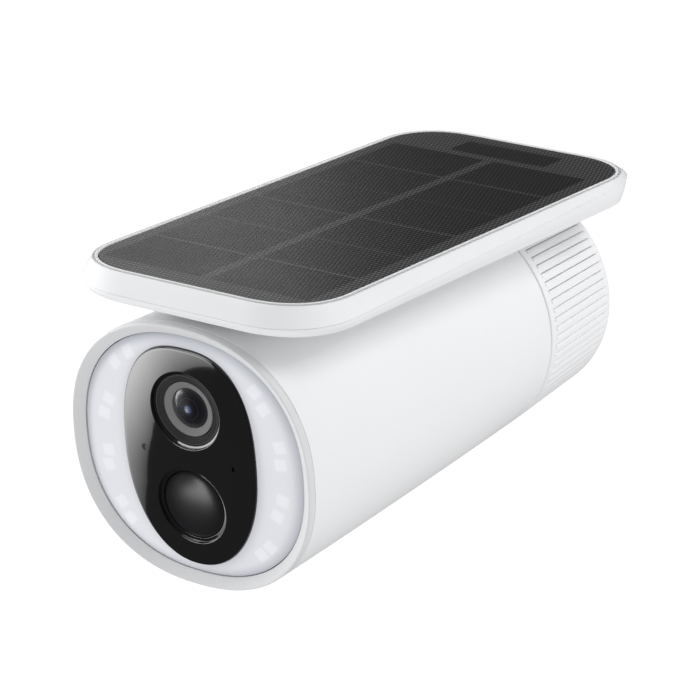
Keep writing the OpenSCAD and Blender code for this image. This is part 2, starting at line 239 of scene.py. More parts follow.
@dataclass
class Skin:
    """A mesh under construction: points in millimetres, and faces of four or three corners."""

    points: list[Array] = field(default_factory=list)
    faces: list[list[int]] = field(default_factory=list)
    size: int = 0
    uv: Callable[[Array], Array] | None = None

    def add(self, rings: Array, ends: Ends = Ends.POLES) -> "Skin":
        """Adds a grid of closed rings, its faces turned outwards by the sign of its volume.

        Args:
            rings: array (rings, points round, 3).
            ends: how the two end rings are closed.

        Returns:
            This skin.
        """
        m, n = rings.shape[:2]
        i = np.arange(m if ends is Ends.JOINED else m - 1)[:, None]
        j = np.arange(n)[None, :]
        up, on = (i + 1) % m, (j + 1) % n
        quads = np.stack([i * n + j, i * n + on, up * n + on, up * n + j], -1).reshape(-1, 4)
        points = rings.reshape(-1, 3)
        tris = np.zeros((0, 3), int)
        if ends is Ends.POLES:
            ring, nxt = np.arange(n), (np.arange(n) + 1) % n
            points = np.concatenate([points, rings[:1].mean(1), rings[-1:].mean(1)])
            tris = np.concatenate([
                np.stack([np.full(n, m * n), nxt, ring], -1),
                np.stack([np.full(n, m * n + 1), (m - 1) * n + ring, (m - 1) * n + nxt], -1)])
        split = np.concatenate([quads[:, [0, 1, 2]], quads[:, [0, 2, 3]], tris])
        p = points - points.mean(0)
        volume = (p[split[:, 0]] * np.cross(p[split[:, 1]], p[split[:, 2]])).sum()
        if volume < 0:
            quads, tris = quads[:, ::-1], tris[:, ::-1]
        self.faces += (quads + self.size).tolist() + (tris + self.size).tolist()
        self.points.append(points)
        self.size += len(points)
        return self

    def piece(self, name: str, finish: bpy.types.Material, sharp: float = 32,
              weld: bool = False) -> bpy.types.Object:
        """Makes the object, in metres, with a smooth surface and hard edges where it folds.

        Args:
            name: the piece's name.
            finish: its material.
            sharp: angle in degrees above which an edge is hard.
            weld: whether equal points are merged and normals worked out again.

        Returns:
            The object, linked to the scene.
        """
        mesh = bpy.data.meshes.new(name)
        mesh.from_pydata((np.concatenate(self.points) * MM).tolist(), [], self.faces)
        if weld:
            work = bmesh.new()
            work.from_mesh(mesh)
            bmesh.ops.remove_doubles(work, verts=work.verts, dist=WELD_WITHIN)
            bmesh.ops.recalc_face_normals(work, faces=work.faces)
            work.to_mesh(mesh)
            work.free()
        mesh.shade_smooth()
        mesh.set_sharp_from_angle(angle=math.radians(sharp))
        mesh.materials.append(finish)
        if self.uv is not None:
            corner = np.zeros(len(mesh.loops), int)
            mesh.loops.foreach_get("vertex_index", corner)
            values = self.uv(vertex_array(mesh))[corner].astype(np.float32)
            mesh.uv_layers.new(name="UVMap").data.foreach_set("uv", values.ravel())
        thing = bpy.data.objects.new(name, mesh)
        bpy.context.scene.collection.objects.link(thing)
        return thing


def vertex_array(mesh: bpy.types.Mesh) -> Array:
    """A mesh's vertices in millimetres, three columns."""
    co = np.zeros(len(mesh.vertices) * 3)
    mesh.vertices.foreach_get("co", co)
    return co.reshape(-1, 3) / MM


def revolve(place: Place, profile: Array, u: float = 0, v: float = 0, count: int = 96) -> Array:
    """A profile of radius and height turned about a line out of the frame at u, v.

    Args:
        place: the frame.
        profile: array of (radius, height).
        u, v: where the line stands.
        count: points round.

    Returns:
        Rings for Skin.add.
    """
    phi = angles(count)[None, :]
    r, w = profile[:, :1], profile[:, 1:2]
    return place.put(u + r * np.cos(phi), v + r * np.sin(phi), w)


def carry(place: Place, profile: Array,
          outline: Callable[[Array], tuple[Array, Array]]) -> Array:
    """A profile of inward offset and height carried round an outline.

    Args:
        place: the frame.
        profile: array of (offset, height).
        outline: gives the outline's two coordinates for a column of offsets.

    Returns:
        Rings for Skin.add.
    """
    u, v = outline(profile[:, :1])
    return place.put(u, v, profile[:, 1:2])


def finish_piece(piece: bpy.types.Object, body: str, slot: str, *nodes: str) -> bpy.types.Object:
    """Places a piece on its body, hides the CAD nodes it stands for, and logs it.

    Args:
        piece: the new object.
        body: the body it rides on.
        slot: not used.
        nodes: the CAD nodes it stands for.

    Returns:
        The same piece.
    """
    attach(piece, body)
    if nodes:
        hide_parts(*nodes)
    log.info("%s rides on %s, %d faces, stands for %s", piece.name, body,
             len(piece.data.polygons), ", ".join(nodes) or "nothing")
    return piece


# ---------------------------------------------------------------- material nodes


class Graph:
    """A small hand for building a node tree: makes nodes, sets their inputs and joins them."""

    def __init__(self, tree: bpy.types.NodeTree) -> None:
        """Takes the tree to build in."""
        self.tree = tree

    def node(self, kind: str, inputs: dict[str | int, object] | None = None,
             **settings: object) -> bpy.types.Node:
        """Makes a node.

        Args:
            kind: the shader node's type, without its common prefix.
            inputs: sockets by name or number, each a value or another node's output.
            settings: the node's properties.

        Returns:
            The node.
        """
        made = self.tree.nodes.new("ShaderNode" + kind)
        for key, value in settings.items():
            setattr(made, key, value)
        for key, value in (inputs or {}).items():
            socket = made.inputs[key]
            if isinstance(value, bpy.types.NodeSocket):
                self.tree.links.new(value, socket)
            else:
                socket.default_value = value
        return made

    def math(self, operation: str, *values: object) -> bpy.types.NodeSocket:
        """A Math node's result.

        Args:
            operation: the node's operation.
            values: numbers or sockets.

        Returns:
            The output socket.
        """
        return self.node("Math", dict(enumerate(values)), operation=operation).outputs[0]

    def mix(self, factor: object, a: object, b: object) -> bpy.types.NodeSocket:
        """A colour between a and b, by the factor."""
        return self.node("Mix", {0: factor, 6: a, 7: b}, data_type="RGBA").outputs[2]

    def step(self, low: float, high: float, value: object) -> bpy.types.NodeSocket:
        """A smooth step.

        Args:
            low, high: where it starts and ends.
            value: a number or socket.

        Returns:
            A socket that runs from 0 at low to 1 at high.
        """
        made = self.node("MapRange", {"Value": value, "From Min": low, "From Max": high},
                         interpolation_type="SMOOTHSTEP")
        return made.outputs["Result"]

    def band(self, value: object, low: float, high: float, soft: float) -> bpy.types.NodeSocket:
        """A band with soft edges.

        Args:
            value: the socket to look at.
            low, high: the middles of the band's two edges.
            soft: half width of an edge.

        Returns:
            A socket that is 1 inside the band and 0 outside it.
        """
        return self.math("MULTIPLY", self.step(low - soft, low + soft, value),
                         self.math("SUBTRACT", 1.0, self.step(high - soft, high + soft, value)))


def grain_group() -> bpy.types.NodeTree:
    """The shared moulded grain: two scales of noise as a height and a faint mottling mask."""
    known = bpy.data.node_groups.get("moulded_grain")
    if known:
        return known
    tree = bpy.data.node_groups.new("moulded_grain", "ShaderNodeTree")
    for name, value in (("Fine scale", 2600.0), ("Broad scale", 28.0)):
        socket = tree.interface.new_socket(name, in_out="INPUT", socket_type="NodeSocketFloat")
        socket.default_value = value
    for name in ("Height", "Mottle"):
        tree.interface.new_socket(name, in_out="OUTPUT", socket_type="NodeSocketFloat")
    g = Graph(tree)
    source, sink = tree.nodes.new("NodeGroupInput"), tree.nodes.new("NodeGroupOutput")
    place = g.node("TexCoord").outputs["Object"]
    fine = g.node("TexNoise", {"Vector": place, "Scale": source.outputs[0], "Detail": 2.0,
                               "Roughness": 0.6})
    broad = g.node("TexNoise", {"Vector": place, "Scale": source.outputs[1], "Detail": 3.0,
                                "Roughness": 0.5})
    tree.links.new(fine.outputs["Fac"], sink.inputs[0])
    tree.links.new(broad.outputs["Fac"], sink.inputs[1])
    return tree


@dataclass(frozen=True)
class Finish:
    """A moulded or machined surface with grain, mottling and a roughness that varies."""

    name: str
    colour: Triple
    rough: float = 0.45
    grain: float = 2600.0
    broad: float = 28.0
    relief: float = 0.02
    mottle: float = 0.03
    rough_spread: float = 0.06
    metal: float = 0.0
    coat: float = 0.0
    coat_rough: float = 0.1
    specular: float = 0.5

    def make(self) -> bpy.types.Material:
        """The material, made once and shared by name."""
        known = bpy.data.materials.get(self.name)
        if known:
            return known
        material = bpy.data.materials.new(self.name)
        material.use_nodes = True
        g = Graph(material.node_tree)
        shader = material.node_tree.nodes["Principled BSDF"]
        grain = g.node("Group", node_tree=grain_group())
        grain.inputs["Fine scale"].default_value = self.grain
        grain.inputs["Broad scale"].default_value = self.broad
        colour = self.paint(g, grain)
        g.tree.links.new(colour, shader.inputs["Base Color"])
        rough = g.node("MapRange", {"Value": grain.outputs["Mottle"], "From Min": 0.3,
                                    "From Max": 0.7, "To Min": self.rough - self.rough_spread,
                                    "To Max": self.rough + self.rough_spread})
        g.tree.links.new(rough.outputs[0], shader.inputs["Roughness"])
        bump = g.node("Bump", {"Strength": 1.0, "Distance": self.relief * MM,
                               "Height": self.height(g, grain)})
        g.tree.links.new(bump.outputs[0], shader.inputs["Normal"])
        shader.inputs["Metallic"].default_value = self.metal
        shader.inputs["Coat Weight"].default_value = self.coat
        shader.inputs["Coat Roughness"].default_value = self.coat_rough
        shader.inputs["Specular IOR Level"].default_value = self.specular
        self.light(g, shader)
        return material

    def paint(self, g: Graph, grain: bpy.types.Node) -> bpy.types.NodeSocket:
        """The base colour: the finish's own, a little darker where the mottling is high."""
        base = (*self.colour, 1.0)
        dark = tuple(c * (1 - self.mottle) for c in self.colour) + (1.0,)
        return g.mix(g.step(0.35, 0.65, grain.outputs["Mottle"]), base, dark)

    def height(self, g: Graph, grain: bpy.types.Node) -> bpy.types.NodeSocket:
        """The bump's height: the fine grain."""
        return grain.outputs["Height"]

    def light(self, g: Graph, shader: bpy.types.Node) -> None:
        """Adds what light the surface gives off; none for a plain finish."""


@dataclass(frozen=True)
class MilkFinish(Finish):
    """Milky diffuser: paler in its middle, with painted shade towards both rims, and the lamps
    behind it as soft square glows.
    """

    warm: Triple = (1.0, 0.93, 0.95)
    cool: Triple = (0.93, 0.95, 1.0)
    # edge is the colour of the painted shade towards the ring's rims
    edge: Triple = (0.56, 0.58, 0.63)
    glow: float = 0.1

    def paint(self, g: Graph, grain: bpy.types.Node) -> bpy.types.NodeSocket:
        """Its own colour in the middle of the ring, and the darker edge colour towards both rims as
        painted shade.
        """
        # the depth attribute carries the painted shade: 0 at the outer rim, lower beside the black
        # panel
        depth = g.node("Attribute", attribute_name="depth").outputs["Fac"]
        return g.mix(depth, (*self.edge, 1.0), (*self.colour, 1.0))

    def light(self, g: Graph, shader: bpy.types.Node) -> None:
        """Each lamp's glow, pinkish or cool, fading into the ring."""
        glow = g.node("Attribute", attribute_name="glow").outputs["Fac"]
        tint = g.node("Attribute", attribute_name="tint").outputs["Fac"]
        lamp = g.mix(tint, (*self.cool, 1.0), (*self.warm, 1.0))
        colour = g.mix(glow, (0.0, 0.0, 0.0, 1.0), lamp)
        g.tree.links.new(colour, shader.inputs["Emission Color"])
        shader.inputs["Emission Strength"].default_value = self.glow


@dataclass(frozen=True)
class SolarFinish(Finish):
    """Embossed film over the cells: two columns of six cells, pale borders, staggered dashes whose
    paleness is a painted highlight for the glints off the embossing.

    Lengths are millimetres from the film's middle line and from its front edge.
    """

    cell: Triple = (0.003, 0.003, 0.0033)
    border: Triple = (0.018, 0.018, 0.0185)
    # the dashes' pale colour is a painted highlight: the glints off the embossed bumps
    dash_glint: Triple = (0.15, 0.15, 0.154)
    dash_wide: float = 1.2
    dash_deep: float = 1.6
    dash_calm: float = 0.62
    columns: tuple[tuple[float, float], ...] = ((-33.0, -1.7), (1.5, 32.7))
    row_first: float = 7.2
    row_pitch: float = 24.2
    row_count: int = 6
    faint_gap: float = 0.45
    label_x: tuple[float, float] = (-16.3, 16.3)
    label_y: tuple[float, float] = (156.0, 167.5)

    def place(self, g: Graph) -> tuple[bpy.types.NodeSocket, bpy.types.NodeSocket]:
        """Millimetres across from the middle and back from the front edge, from the UV map."""
        uv = g.node("SeparateXYZ", {0: g.node("UVMap", uv_map="UVMap").outputs[0]})
        return g.math("MULTIPLY", uv.outputs[0], 100.0), g.math("MULTIPLY", uv.outputs[1], 100.0)

    def dashes(self, g: Graph, x: bpy.types.NodeSocket,
               y: bpy.types.NodeSocket) -> bpy.types.NodeSocket:
        """Staggered, slightly leaning dashes, one to a cell of a brick lattice.

        Args:
            g: the graph.
            x, y: the place on the film.

        Returns:
            1 on a dash's crest, falling to 0 by the square of the distance in its own ellipse.
        """
        row = g.math("DIVIDE", y, self.dash_deep)
        shift = g.math("MULTIPLY", g.math("FLOORED_MODULO", g.math("FLOOR", row), 2.0), 0.5)
        across = g.math("ADD", g.math("DIVIDE", x, self.dash_wide), shift)
        deep = g.math("SUBTRACT", g.math("FRACT", row), 0.5)
        wide = g.math("SUBTRACT", g.math("FRACT", across), 0.5)
        slant = g.math("ADD", wide, g.math("MULTIPLY", deep, 0.15))
        far = g.math("ADD", g.math("POWER", g.math("MULTIPLY", slant, 2.1), 2.0),
                     g.math("POWER", g.math("MULTIPLY", deep, 3.3), 2.0))
        return g.math("MAXIMUM", g.math("SUBTRACT", 1.0, far), 0.0)

    def cells(self, g: Graph, x: bpy.types.NodeSocket,
              y: bpy.types.NodeSocket) -> bpy.types.NodeSocket:
        """The mask of the cells.

        The gaps between rows are by turns clear and faint, so the rows are worked out in pairs.

        Args:
            g: the graph.
            x, y: the place on the film.

        Returns:
            1 on a cell and on the small dark label field, 0 on the borders and the clear gaps.
        """
        left, right = (g.band(x, low, high, 0.25) for low, high in self.columns)
        column = g.math("ADD", left, right)
        row_last = self.row_first + self.row_count * self.row_pitch
        rows = g.band(y, self.row_first, row_last, 0.3)
        along = g.math("DIVIDE", g.math("SUBTRACT", y, self.row_first), 2 * self.row_pitch)
        wide = g.math("ABSOLUTE", g.math("MULTIPLY", g.math(
            "SUBTRACT", g.math("FRACT", along), 0.5), 2 * self.row_pitch))
        bright = g.step(0.35, 0.9, wide)
        faint = g.math("ADD", g.math("MULTIPLY", g.step(
            self.row_pitch - 0.2, self.row_pitch - 0.8, wide), 1 - self.faint_gap), self.faint_gap)
        block = g.math("MULTIPLY", g.math("MULTIPLY", column, rows),
                       g.math("MULTIPLY", bright, faint))
        label = g.math("MULTIPLY", g.band(x, *self.label_x, 0.3), g.band(y, *self.label_y, 0.3))
        return g.math("MAXIMUM", block, label)

    def paint(self, g: Graph, grain: bpy.types.Node) -> bpy.types.NodeSocket:
        """Dark cells, paler borders, and the dashes paler than both, a painted highlight standing
        in for the glints off their embossing.
        """
        x, y = self.place(g)
        ground = g.mix(self.cells(g, x, y), (*self.border, 1.0), (*self.cell, 1.0))
        lit = g.math("MULTIPLY", self.dashes(g, x, y), g.math(
            "SUBTRACT", 1.0, g.math("MULTIPLY", self.cells(g, x, y), self.dash_calm)))
        return g.mix(lit, ground, (*self.dash_glint, 1.0))

    def height(self, g: Graph, grain: bpy.types.Node) -> bpy.types.NodeSocket:
        """The dashes stand up from the film."""
        return self.dashes(g, *self.place(g))


@dataclass(frozen=True)
class LensFinish(Finish):
    """Coated lens glass: dark, with thin rings and a painted blue reflection at its middle."""

    centre: Triple = (0.0, 0.0, 0.0)
    reach: float = 6.0
    # the stops out to 1.2 mm are painted reflection: a pale blue spot and blue rings at the middle
    rings: tuple[tuple[float, Triple], ...] = (
        (0.0, (0.50, 0.58, 0.80)), (0.3, (0.008, 0.012, 0.035)), (0.7, (0.009, 0.016, 0.055)),
        (1.0, (0.018, 0.032, 0.10)), (1.2, (0.003, 0.004, 0.008)), (2.9, (0.003, 0.003, 0.004)),
        (3.0, (0.022, 0.023, 0.028)), (3.15, (0.004, 0.004, 0.006)), (4.6, (0.008, 0.008, 0.010)),
        (5.4, (0.020, 0.020, 0.022)))

    def paint(self, g: Graph, grain: bpy.types.Node) -> bpy.types.NodeSocket:
        """A colour for each distance from the lens's middle; the pale blue middle and the blue
        rings round it are painted reflection.
        """
        place = g.node("TexCoord").outputs["Object"]
        far = g.node("VectorMath", {0: place, 1: tuple(c * MM for c in self.centre)},
                     operation="DISTANCE").outputs["Value"]
        ramp = g.node("ValToRGB", {0: g.math("DIVIDE", far, self.reach * MM)})
        stops = ramp.color_ramp.elements
        for k, (radius, colour) in enumerate(self.rings):
            stop = stops[k] if k < 2 else stops.new(radius / self.reach)
            stop.position = radius / self.reach
            stop.color = (*colour, 1.0)
        return ramp.outputs[0]


@dataclass(frozen=True)
class BoardFinish(Finish):
    """Circuit board: solder mask over fine copper tracks, with plated dots."""

    track: Triple = (0.02, 0.16, 0.07)
    plate: Triple = (0.75, 0.58, 0.25)

    def paint(self, g: Graph, grain: bpy.types.Node) -> bpy.types.NodeSocket:
        """Tracks where a brick lattice has its joints, dots where a fine cell pattern peaks."""
        place = g.node("TexCoord").outputs["Object"]
        tracks = g.node("TexBrick", {"Vector": place, "Scale": 420.0, "Mortar Size": 0.03,
                                     "Color1": (0, 0, 0, 1), "Color2": (0, 0, 0, 1),
                                     "Mortar": (1, 1, 1, 1)}).outputs["Color"]
        dots = g.node("TexVoronoi", {"Vector": place, "Scale": 260.0}).outputs["Distance"]
        green = g.mix(tracks, (*self.colour, 1.0), (*self.track, 1.0))
        return g.mix(g.step(0.16, 0.12, dots), green, (*self.plate, 1.0))


@dataclass(frozen=True)
class BrushedFinish(Finish):
    """Turned or rolled metal: fine streaks stretched along one direction."""

    stretch: Triple = (1.0, 0.04, 1.0)

    def height(self, g: Graph, grain: bpy.types.Node) -> bpy.types.NodeSocket:
        """Noise squeezed into streaks."""
        place = g.node("Mapping", {"Vector": g.node("TexCoord").outputs["Object"],
                                   "Scale": self.stretch}).outputs[0]
        return g.node("TexNoise", {"Vector": place, "Scale": 3200.0, "Detail": 2.0}).outputs["Fac"]


WHITE = Finish("white_moulded", (0.86, 0.865, 0.875), rough=0.42, relief=0.03, mottle=0.012,
               rough_spread=0.03, specular=0.45)
WHITE_GLOSS = Finish("white_satin", (0.87, 0.875, 0.885), rough=0.34, relief=0.004, mottle=0.01,
                     rough_spread=0.03)
# the bezel is the white shell's plastic; its grey, darker than the white, is painted shade
BEZEL_SHADED = Finish("bezel_shaded_white", (0.72, 0.725, 0.735), rough=0.5, relief=0.008, mottle=0.015)
MILK = MilkFinish("milk_diffuser", (0.80, 0.81, 0.85), rough=0.38, relief=0.003, mottle=0.0,
                  glow=0.1)
GLOSS = Finish("black_gloss", (0.006, 0.006, 0.0065), rough=0.045, relief=0.0006, grain=160.0,
               mottle=0.1, rough_spread=0.01, coat=0.4, coat_rough=0.02)
DARK_AND_SLOT_SHADE = Finish("black_moulded_and_slot_shade", (0.016, 0.016, 0.017), rough=0.36, relief=0.01, mottle=0.15)
GREY_METAL = Finish("lens_trim", (0.21, 0.21, 0.212), rough=0.5, relief=0.004, mottle=0.1,
                    specular=0.4)
RIBBED = Finish("lens_ribs_black", (0.065, 0.065, 0.066), rough=0.35, relief=0.003, mottle=0.1)
HOLE_SHADE = Finish("hole_shade_black", (0.001, 0.001, 0.001), rough=0.9, relief=0.001, mottle=0.1,
              specular=0.05)
DOME = Finish("dome_black", (0.007, 0.007, 0.008), rough=0.27, relief=0.001, mottle=0.1,
              rough_spread=0.03)
RUBBER = Finish("grey_rubber", (0.50, 0.505, 0.52), rough=0.62, relief=0.02, mottle=0.05)
GROOVE_SHADE = Finish("groove_shade_grey", (0.55, 0.555, 0.565), rough=0.5, relief=0.01, mottle=0.04)
SEAL_AND_GAP_SHADE = Finish("seal_rubber_and_gap_shade", (0.03, 0.03, 0.032), rough=0.7, relief=0.02, mottle=0.2)
BUTTON = Finish("button_grey", (0.58, 0.585, 0.6), rough=0.4, relief=0.006, mottle=0.03)
PLATE = Finish("plate_white", (0.80, 0.805, 0.815), rough=0.48, relief=0.02, mottle=0.02)
INNER_GREY = Finish("inner_grey", (0.18, 0.18, 0.19), rough=0.55, relief=0.03, mottle=0.1)
BRASS = BrushedFinish("brass_turned", (0.78, 0.56, 0.26), rough=0.3, relief=0.003, metal=1.0,
                      mottle=0.1)
STEEL = BrushedFinish("steel_rolled", (0.62, 0.62, 0.63), rough=0.32, relief=0.003, metal=1.0,
                      mottle=0.1)
GOLD = BrushedFinish("gold_plated", (0.86, 0.62, 0.28), rough=0.25, relief=0.002, metal=1.0,
                     mottle=0.08)
BOARD = BoardFinish("board_green", (0.008, 0.09, 0.04), rough=0.4, relief=0.006)
LED_BOARD = BoardFinish("board_white", (0.82, 0.82, 0.80), rough=0.45, relief=0.006,
                        track=(0.70, 0.70, 0.68))
LED = Finish("led_phosphor", (0.86, 0.72, 0.22), rough=0.35, grain=5200.0, relief=0.004,
             mottle=0.12)
BATTERY = Finish("battery_wrap", (0.06, 0.17, 0.36), rough=0.3, relief=0.006, broad=90.0,
                 mottle=0.15)
FILM = SolarFinish("solar_film", (0.02, 0.02, 0.02), rough=0.38, relief=0.07, rough_spread=0.03,
                   specular=0.25)
CELL = Finish("cell_silicon", (0.012, 0.016, 0.05), rough=0.28, grain=900.0, broad=220.0,
              relief=0.004, mottle=0.35)
BACKING = Finish("backing_fibre", (0.42, 0.36, 0.26), rough=0.7, grain=1400.0, relief=0.03,
                 mottle=0.2)
NYLON = Finish("nylon_washer", (0.78, 0.76, 0.70), rough=0.4, relief=0.008, mottle=0.06)
WINDOW = Finish("window_smoke", (0.05, 0.05, 0.052), rough=0.15, relief=0.001, mottle=0.1)


# ---------------------------------------------------------------- small hardware


def pan_screw(place: Place, u: float, v: float, top: float, radius: float, depth: float,
              slot: float = 0.36, reach: float = 1.3, sink: float = 0.55) -> Array:
    """A round screw head with a cross recess.

    The head is a flat cone with a rounded rim. Its height falls inside a cross of two bars, by a
    smooth step of the distance to the bars.

    Args:
        place: the frame; the head faces out of it.
        u, v, top: the middle of the head's face.
        radius, depth: the head's size.
        slot, reach: half width and half length of the cross's bars.
        sink: the cross's depth.

    Returns:
        Rings for Skin.add.
    """
    fine = np.linspace(0.06, reach + 0.3, 16)
    rim = rounded([(reach + 0.31, 0.0), (radius, -0.08), (radius, -depth)], [0, 0.3, 0], steps=7)
    profile = np.concatenate([np.stack([fine, np.zeros(16)], -1), rim])
    phi = angles(120)[None, :]
    x, y = profile[:, :1] * np.cos(phi), profile[:, :1] * np.sin(phi)
    bar = np.minimum(np.maximum(np.abs(x) - slot, np.abs(y) - reach),
                     np.maximum(np.abs(y) - slot, np.abs(x) - reach))
    sunk = sink * smooth(0.08, -0.08, bar)
    return place.put(u + x, v + y, top + profile[:, 1:2] - sunk)


def thread(place: Place, radius: float, pitch: float, depth: float, outer: float,
           swing: float = 0.28) -> Array:
    """A threaded bore in a round insert, open at the top and closed at the bottom.

    The bore's radius swings by a triangle wave of height over pitch minus angle over a full turn.

    Args:
        place: the frame; the mouth faces out of it at height 0.
        radius: mean radius of the bore.
        pitch: thread pitch.
        depth: depth of the bore.
        outer: outer radius of the insert.
        swing: difference between the thread's crest and root.

    Returns:
        Rings for Skin.add.
    """
    phi = angles(96)[None, :]
    w = np.linspace(-0.5, -depth, 110)[:, None]
    wave = 2 * np.abs(np.mod(w / pitch - phi / FULL, 1) - 0.5)
    fade = smooth(-0.3, -1.0, w)
    bore = radius + swing * (wave - 0.5) * fade
    bore_rings = place.put(bore * np.cos(phi), bore * np.sin(phi), w)
    rim = rounded([(radius, -0.5), (radius + 0.5, -0.02), (outer, -0.02), (outer, -depth - 1.2)],
                  [0, 0.1, 0.15, 0], steps=5)
    return np.concatenate([bore_rings[::-1], revolve(place, rim[1:])])


# ---------------------------------------------------------------- sub-assemblies


@dataclass
class Barrel:
    """The camera's tapered body: barrel shell, bezel round the face and the speaker's slots."""

    face_a: float = 38.6
    face_b: float = 38.0
    square: float = 2.27
    seam_r: float = 35.1
    seam_y: float = -40.45
    wall: float = 2.0
    seam_w: float = -0.72
    bulge: float = 0.3
    seat_r: float = 16.0
    seat_in_r: float = 12.35
    seat_top: float = -9.2
    seat_foot: float = -15.0
    taper: float = 128.0
    rise: float = 1.5
    slot_half: tuple[float, float] = (0.75, 8.6)
    slot_gap: float = 4.0
    slot_y: float = -141.0
    round_count: int = 288

    def outline(self, inset: Array) -> tuple[Array, Array]:
        """The face's outline, set in.

        Args:
            inset: what the half sizes are less by, as a column.

        Returns:
            The two coordinates.
        """
        return superellipse(angles(self.round_count)[None, :], self.face_a - inset,
                            self.face_b - inset, self.square)

    def shell(self) -> bpy.types.Object:
        """The tapered tube.

        Between the round seam and the squarer face each ring is the straight blend of the two
        outlines, swollen in the middle by a parabola of the height bulge. A second set of rings
        inside it makes the wall.
        """
        phi = angles(self.round_count)[None, :]
        s = np.linspace(0, 1, 40)[:, None, None]

        def hoop(radius: float, w: float) -> Array:
            """A circle round the barrel's axis, w forward of the rear plate."""
            return AXIS.put(np.cos(phi) * radius, np.sin(phi) * radius, w)

        end = -self.seam_y
        back = hoop(self.seam_r, end)
        front = FACE.put(*self.outline(np.zeros((1, 1))), self.seam_w)
        direction = np.stack([np.cos(phi), 0 * phi, np.sin(phi)], -1)
        outer = back + (front - back) * s + direction * self.bulge * 4 * s * (1 - s)
        lip = carry(FACE, rounded([(0.0, self.seam_w), (0.14, self.seam_w + 0.1),
                                   (self.wall, self.seam_w + 0.1)], [0, 0.05, 0]), self.outline)
        inner = (outer - direction * self.wall)[::-1]
        tail = hoop(self.seam_r - 0.25, end - 0.25)
        edge = hoop(self.seam_r - self.wall, end - 0.25)
        outer[0] = hoop(self.seam_r, end + 0.05)
        skin = Skin().add(np.concatenate([tail, outer, lip, inner, edge]), Ends.JOINED)
        seat = rounded([(self.seat_in_r, self.seat_foot), (self.seat_in_r, self.seat_top),
                        (self.seat_r, self.seat_top), (self.seat_r, self.seat_foot)],
                       [0, 0.3, 0.6, 0], closed=True)
        skin.add(revolve(PANEL, seat), Ends.JOINED)
        return skin.piece("barrel", WHITE.make())

    def bezel(self) -> bpy.types.Object:
        """The rim round the face: a bright outer side and a funnel that slopes in."""
        profile = rounded([(0.0, -0.48), (0.12, 1.7), (0.42, 2.05), (3.18, 0.0), (3.18, -1.6),
                           (1.2, -1.6), (1.2, -0.48)], [0.12, 0.5, 0.25, 0.12, 0, 0, 0],
                          closed=True)
        skin = Skin().add(carry(FACE, profile, self.outline), Ends.JOINED)
        # its grey finish is painted shade on white plastic
        return skin.piece("bezel", BEZEL_SHADED.make())

    def seam_seal(self) -> bpy.types.Object:
        """The dark ring at the bottom of the gap between the barrel and the collar, painted shade
        that darkens the gap.
        """
        r, y = self.seam_r - 0.9, -self.seam_y
        profile = rounded([(r, y - 1.0), (r, y + 0.1), (r - 1.4, y + 0.1), (r - 1.4, y - 1.0)],
                          [0.2, 0.2, 0.2, 0.2], closed=True)
        skin = Skin().add(revolve(AXIS, profile, count=192), Ends.JOINED)
        return skin.piece("seam_seal", SEAL_AND_GAP_SHADE.make())

    def slots(self) -> bpy.types.Object:
        """The speaker's seven slots under the barrel, as dark flush inlays following its skin;
        their dark colour is painted shade for the open slots.

        Each is a stack of shrinking superellipses. A point's height is that of the tapering
        circle there, -sqrt(radius^2 - u^2), raised as the barrel's middle rises to the face.
        """
        skin = Skin()
        phi = angles(48)[None, :]
        x, y = superellipse(phi, *self.slot_half, 3.2)
        size = np.array([1.0, 0.97, 0.85, 0.8])[:, None]
        sink = np.array([0.05, 0.08, 0.02, -0.6])[:, None]
        for k in range(-3, 4):
            u, along = self.slot_gap * k + size * x, self.slot_y + size * y
            share = (-along + self.seam_y) / self.taper
            radius = self.seam_r + (self.face_b - self.seam_r) * share
            z = -np.sqrt(radius**2 - u**2) + self.rise * share
            skin.add(np.stack([u, along, z - sink - 0.12], -1))
        return skin.piece("speaker_slots", DARK_AND_SLOT_SHADE.make())

    def build(self) -> None:
        """Makes the three pieces and places them on the camera body."""
        finish_piece(self.shell(), "camera", "white_shell", "barrel_shell")
        finish_piece(self.bezel(), "camera", "white_shell", "bezel_ring")
        finish_piece(self.seam_seal(), "camera", "baffle")
        finish_piece(self.slots(), "camera", "baffle")


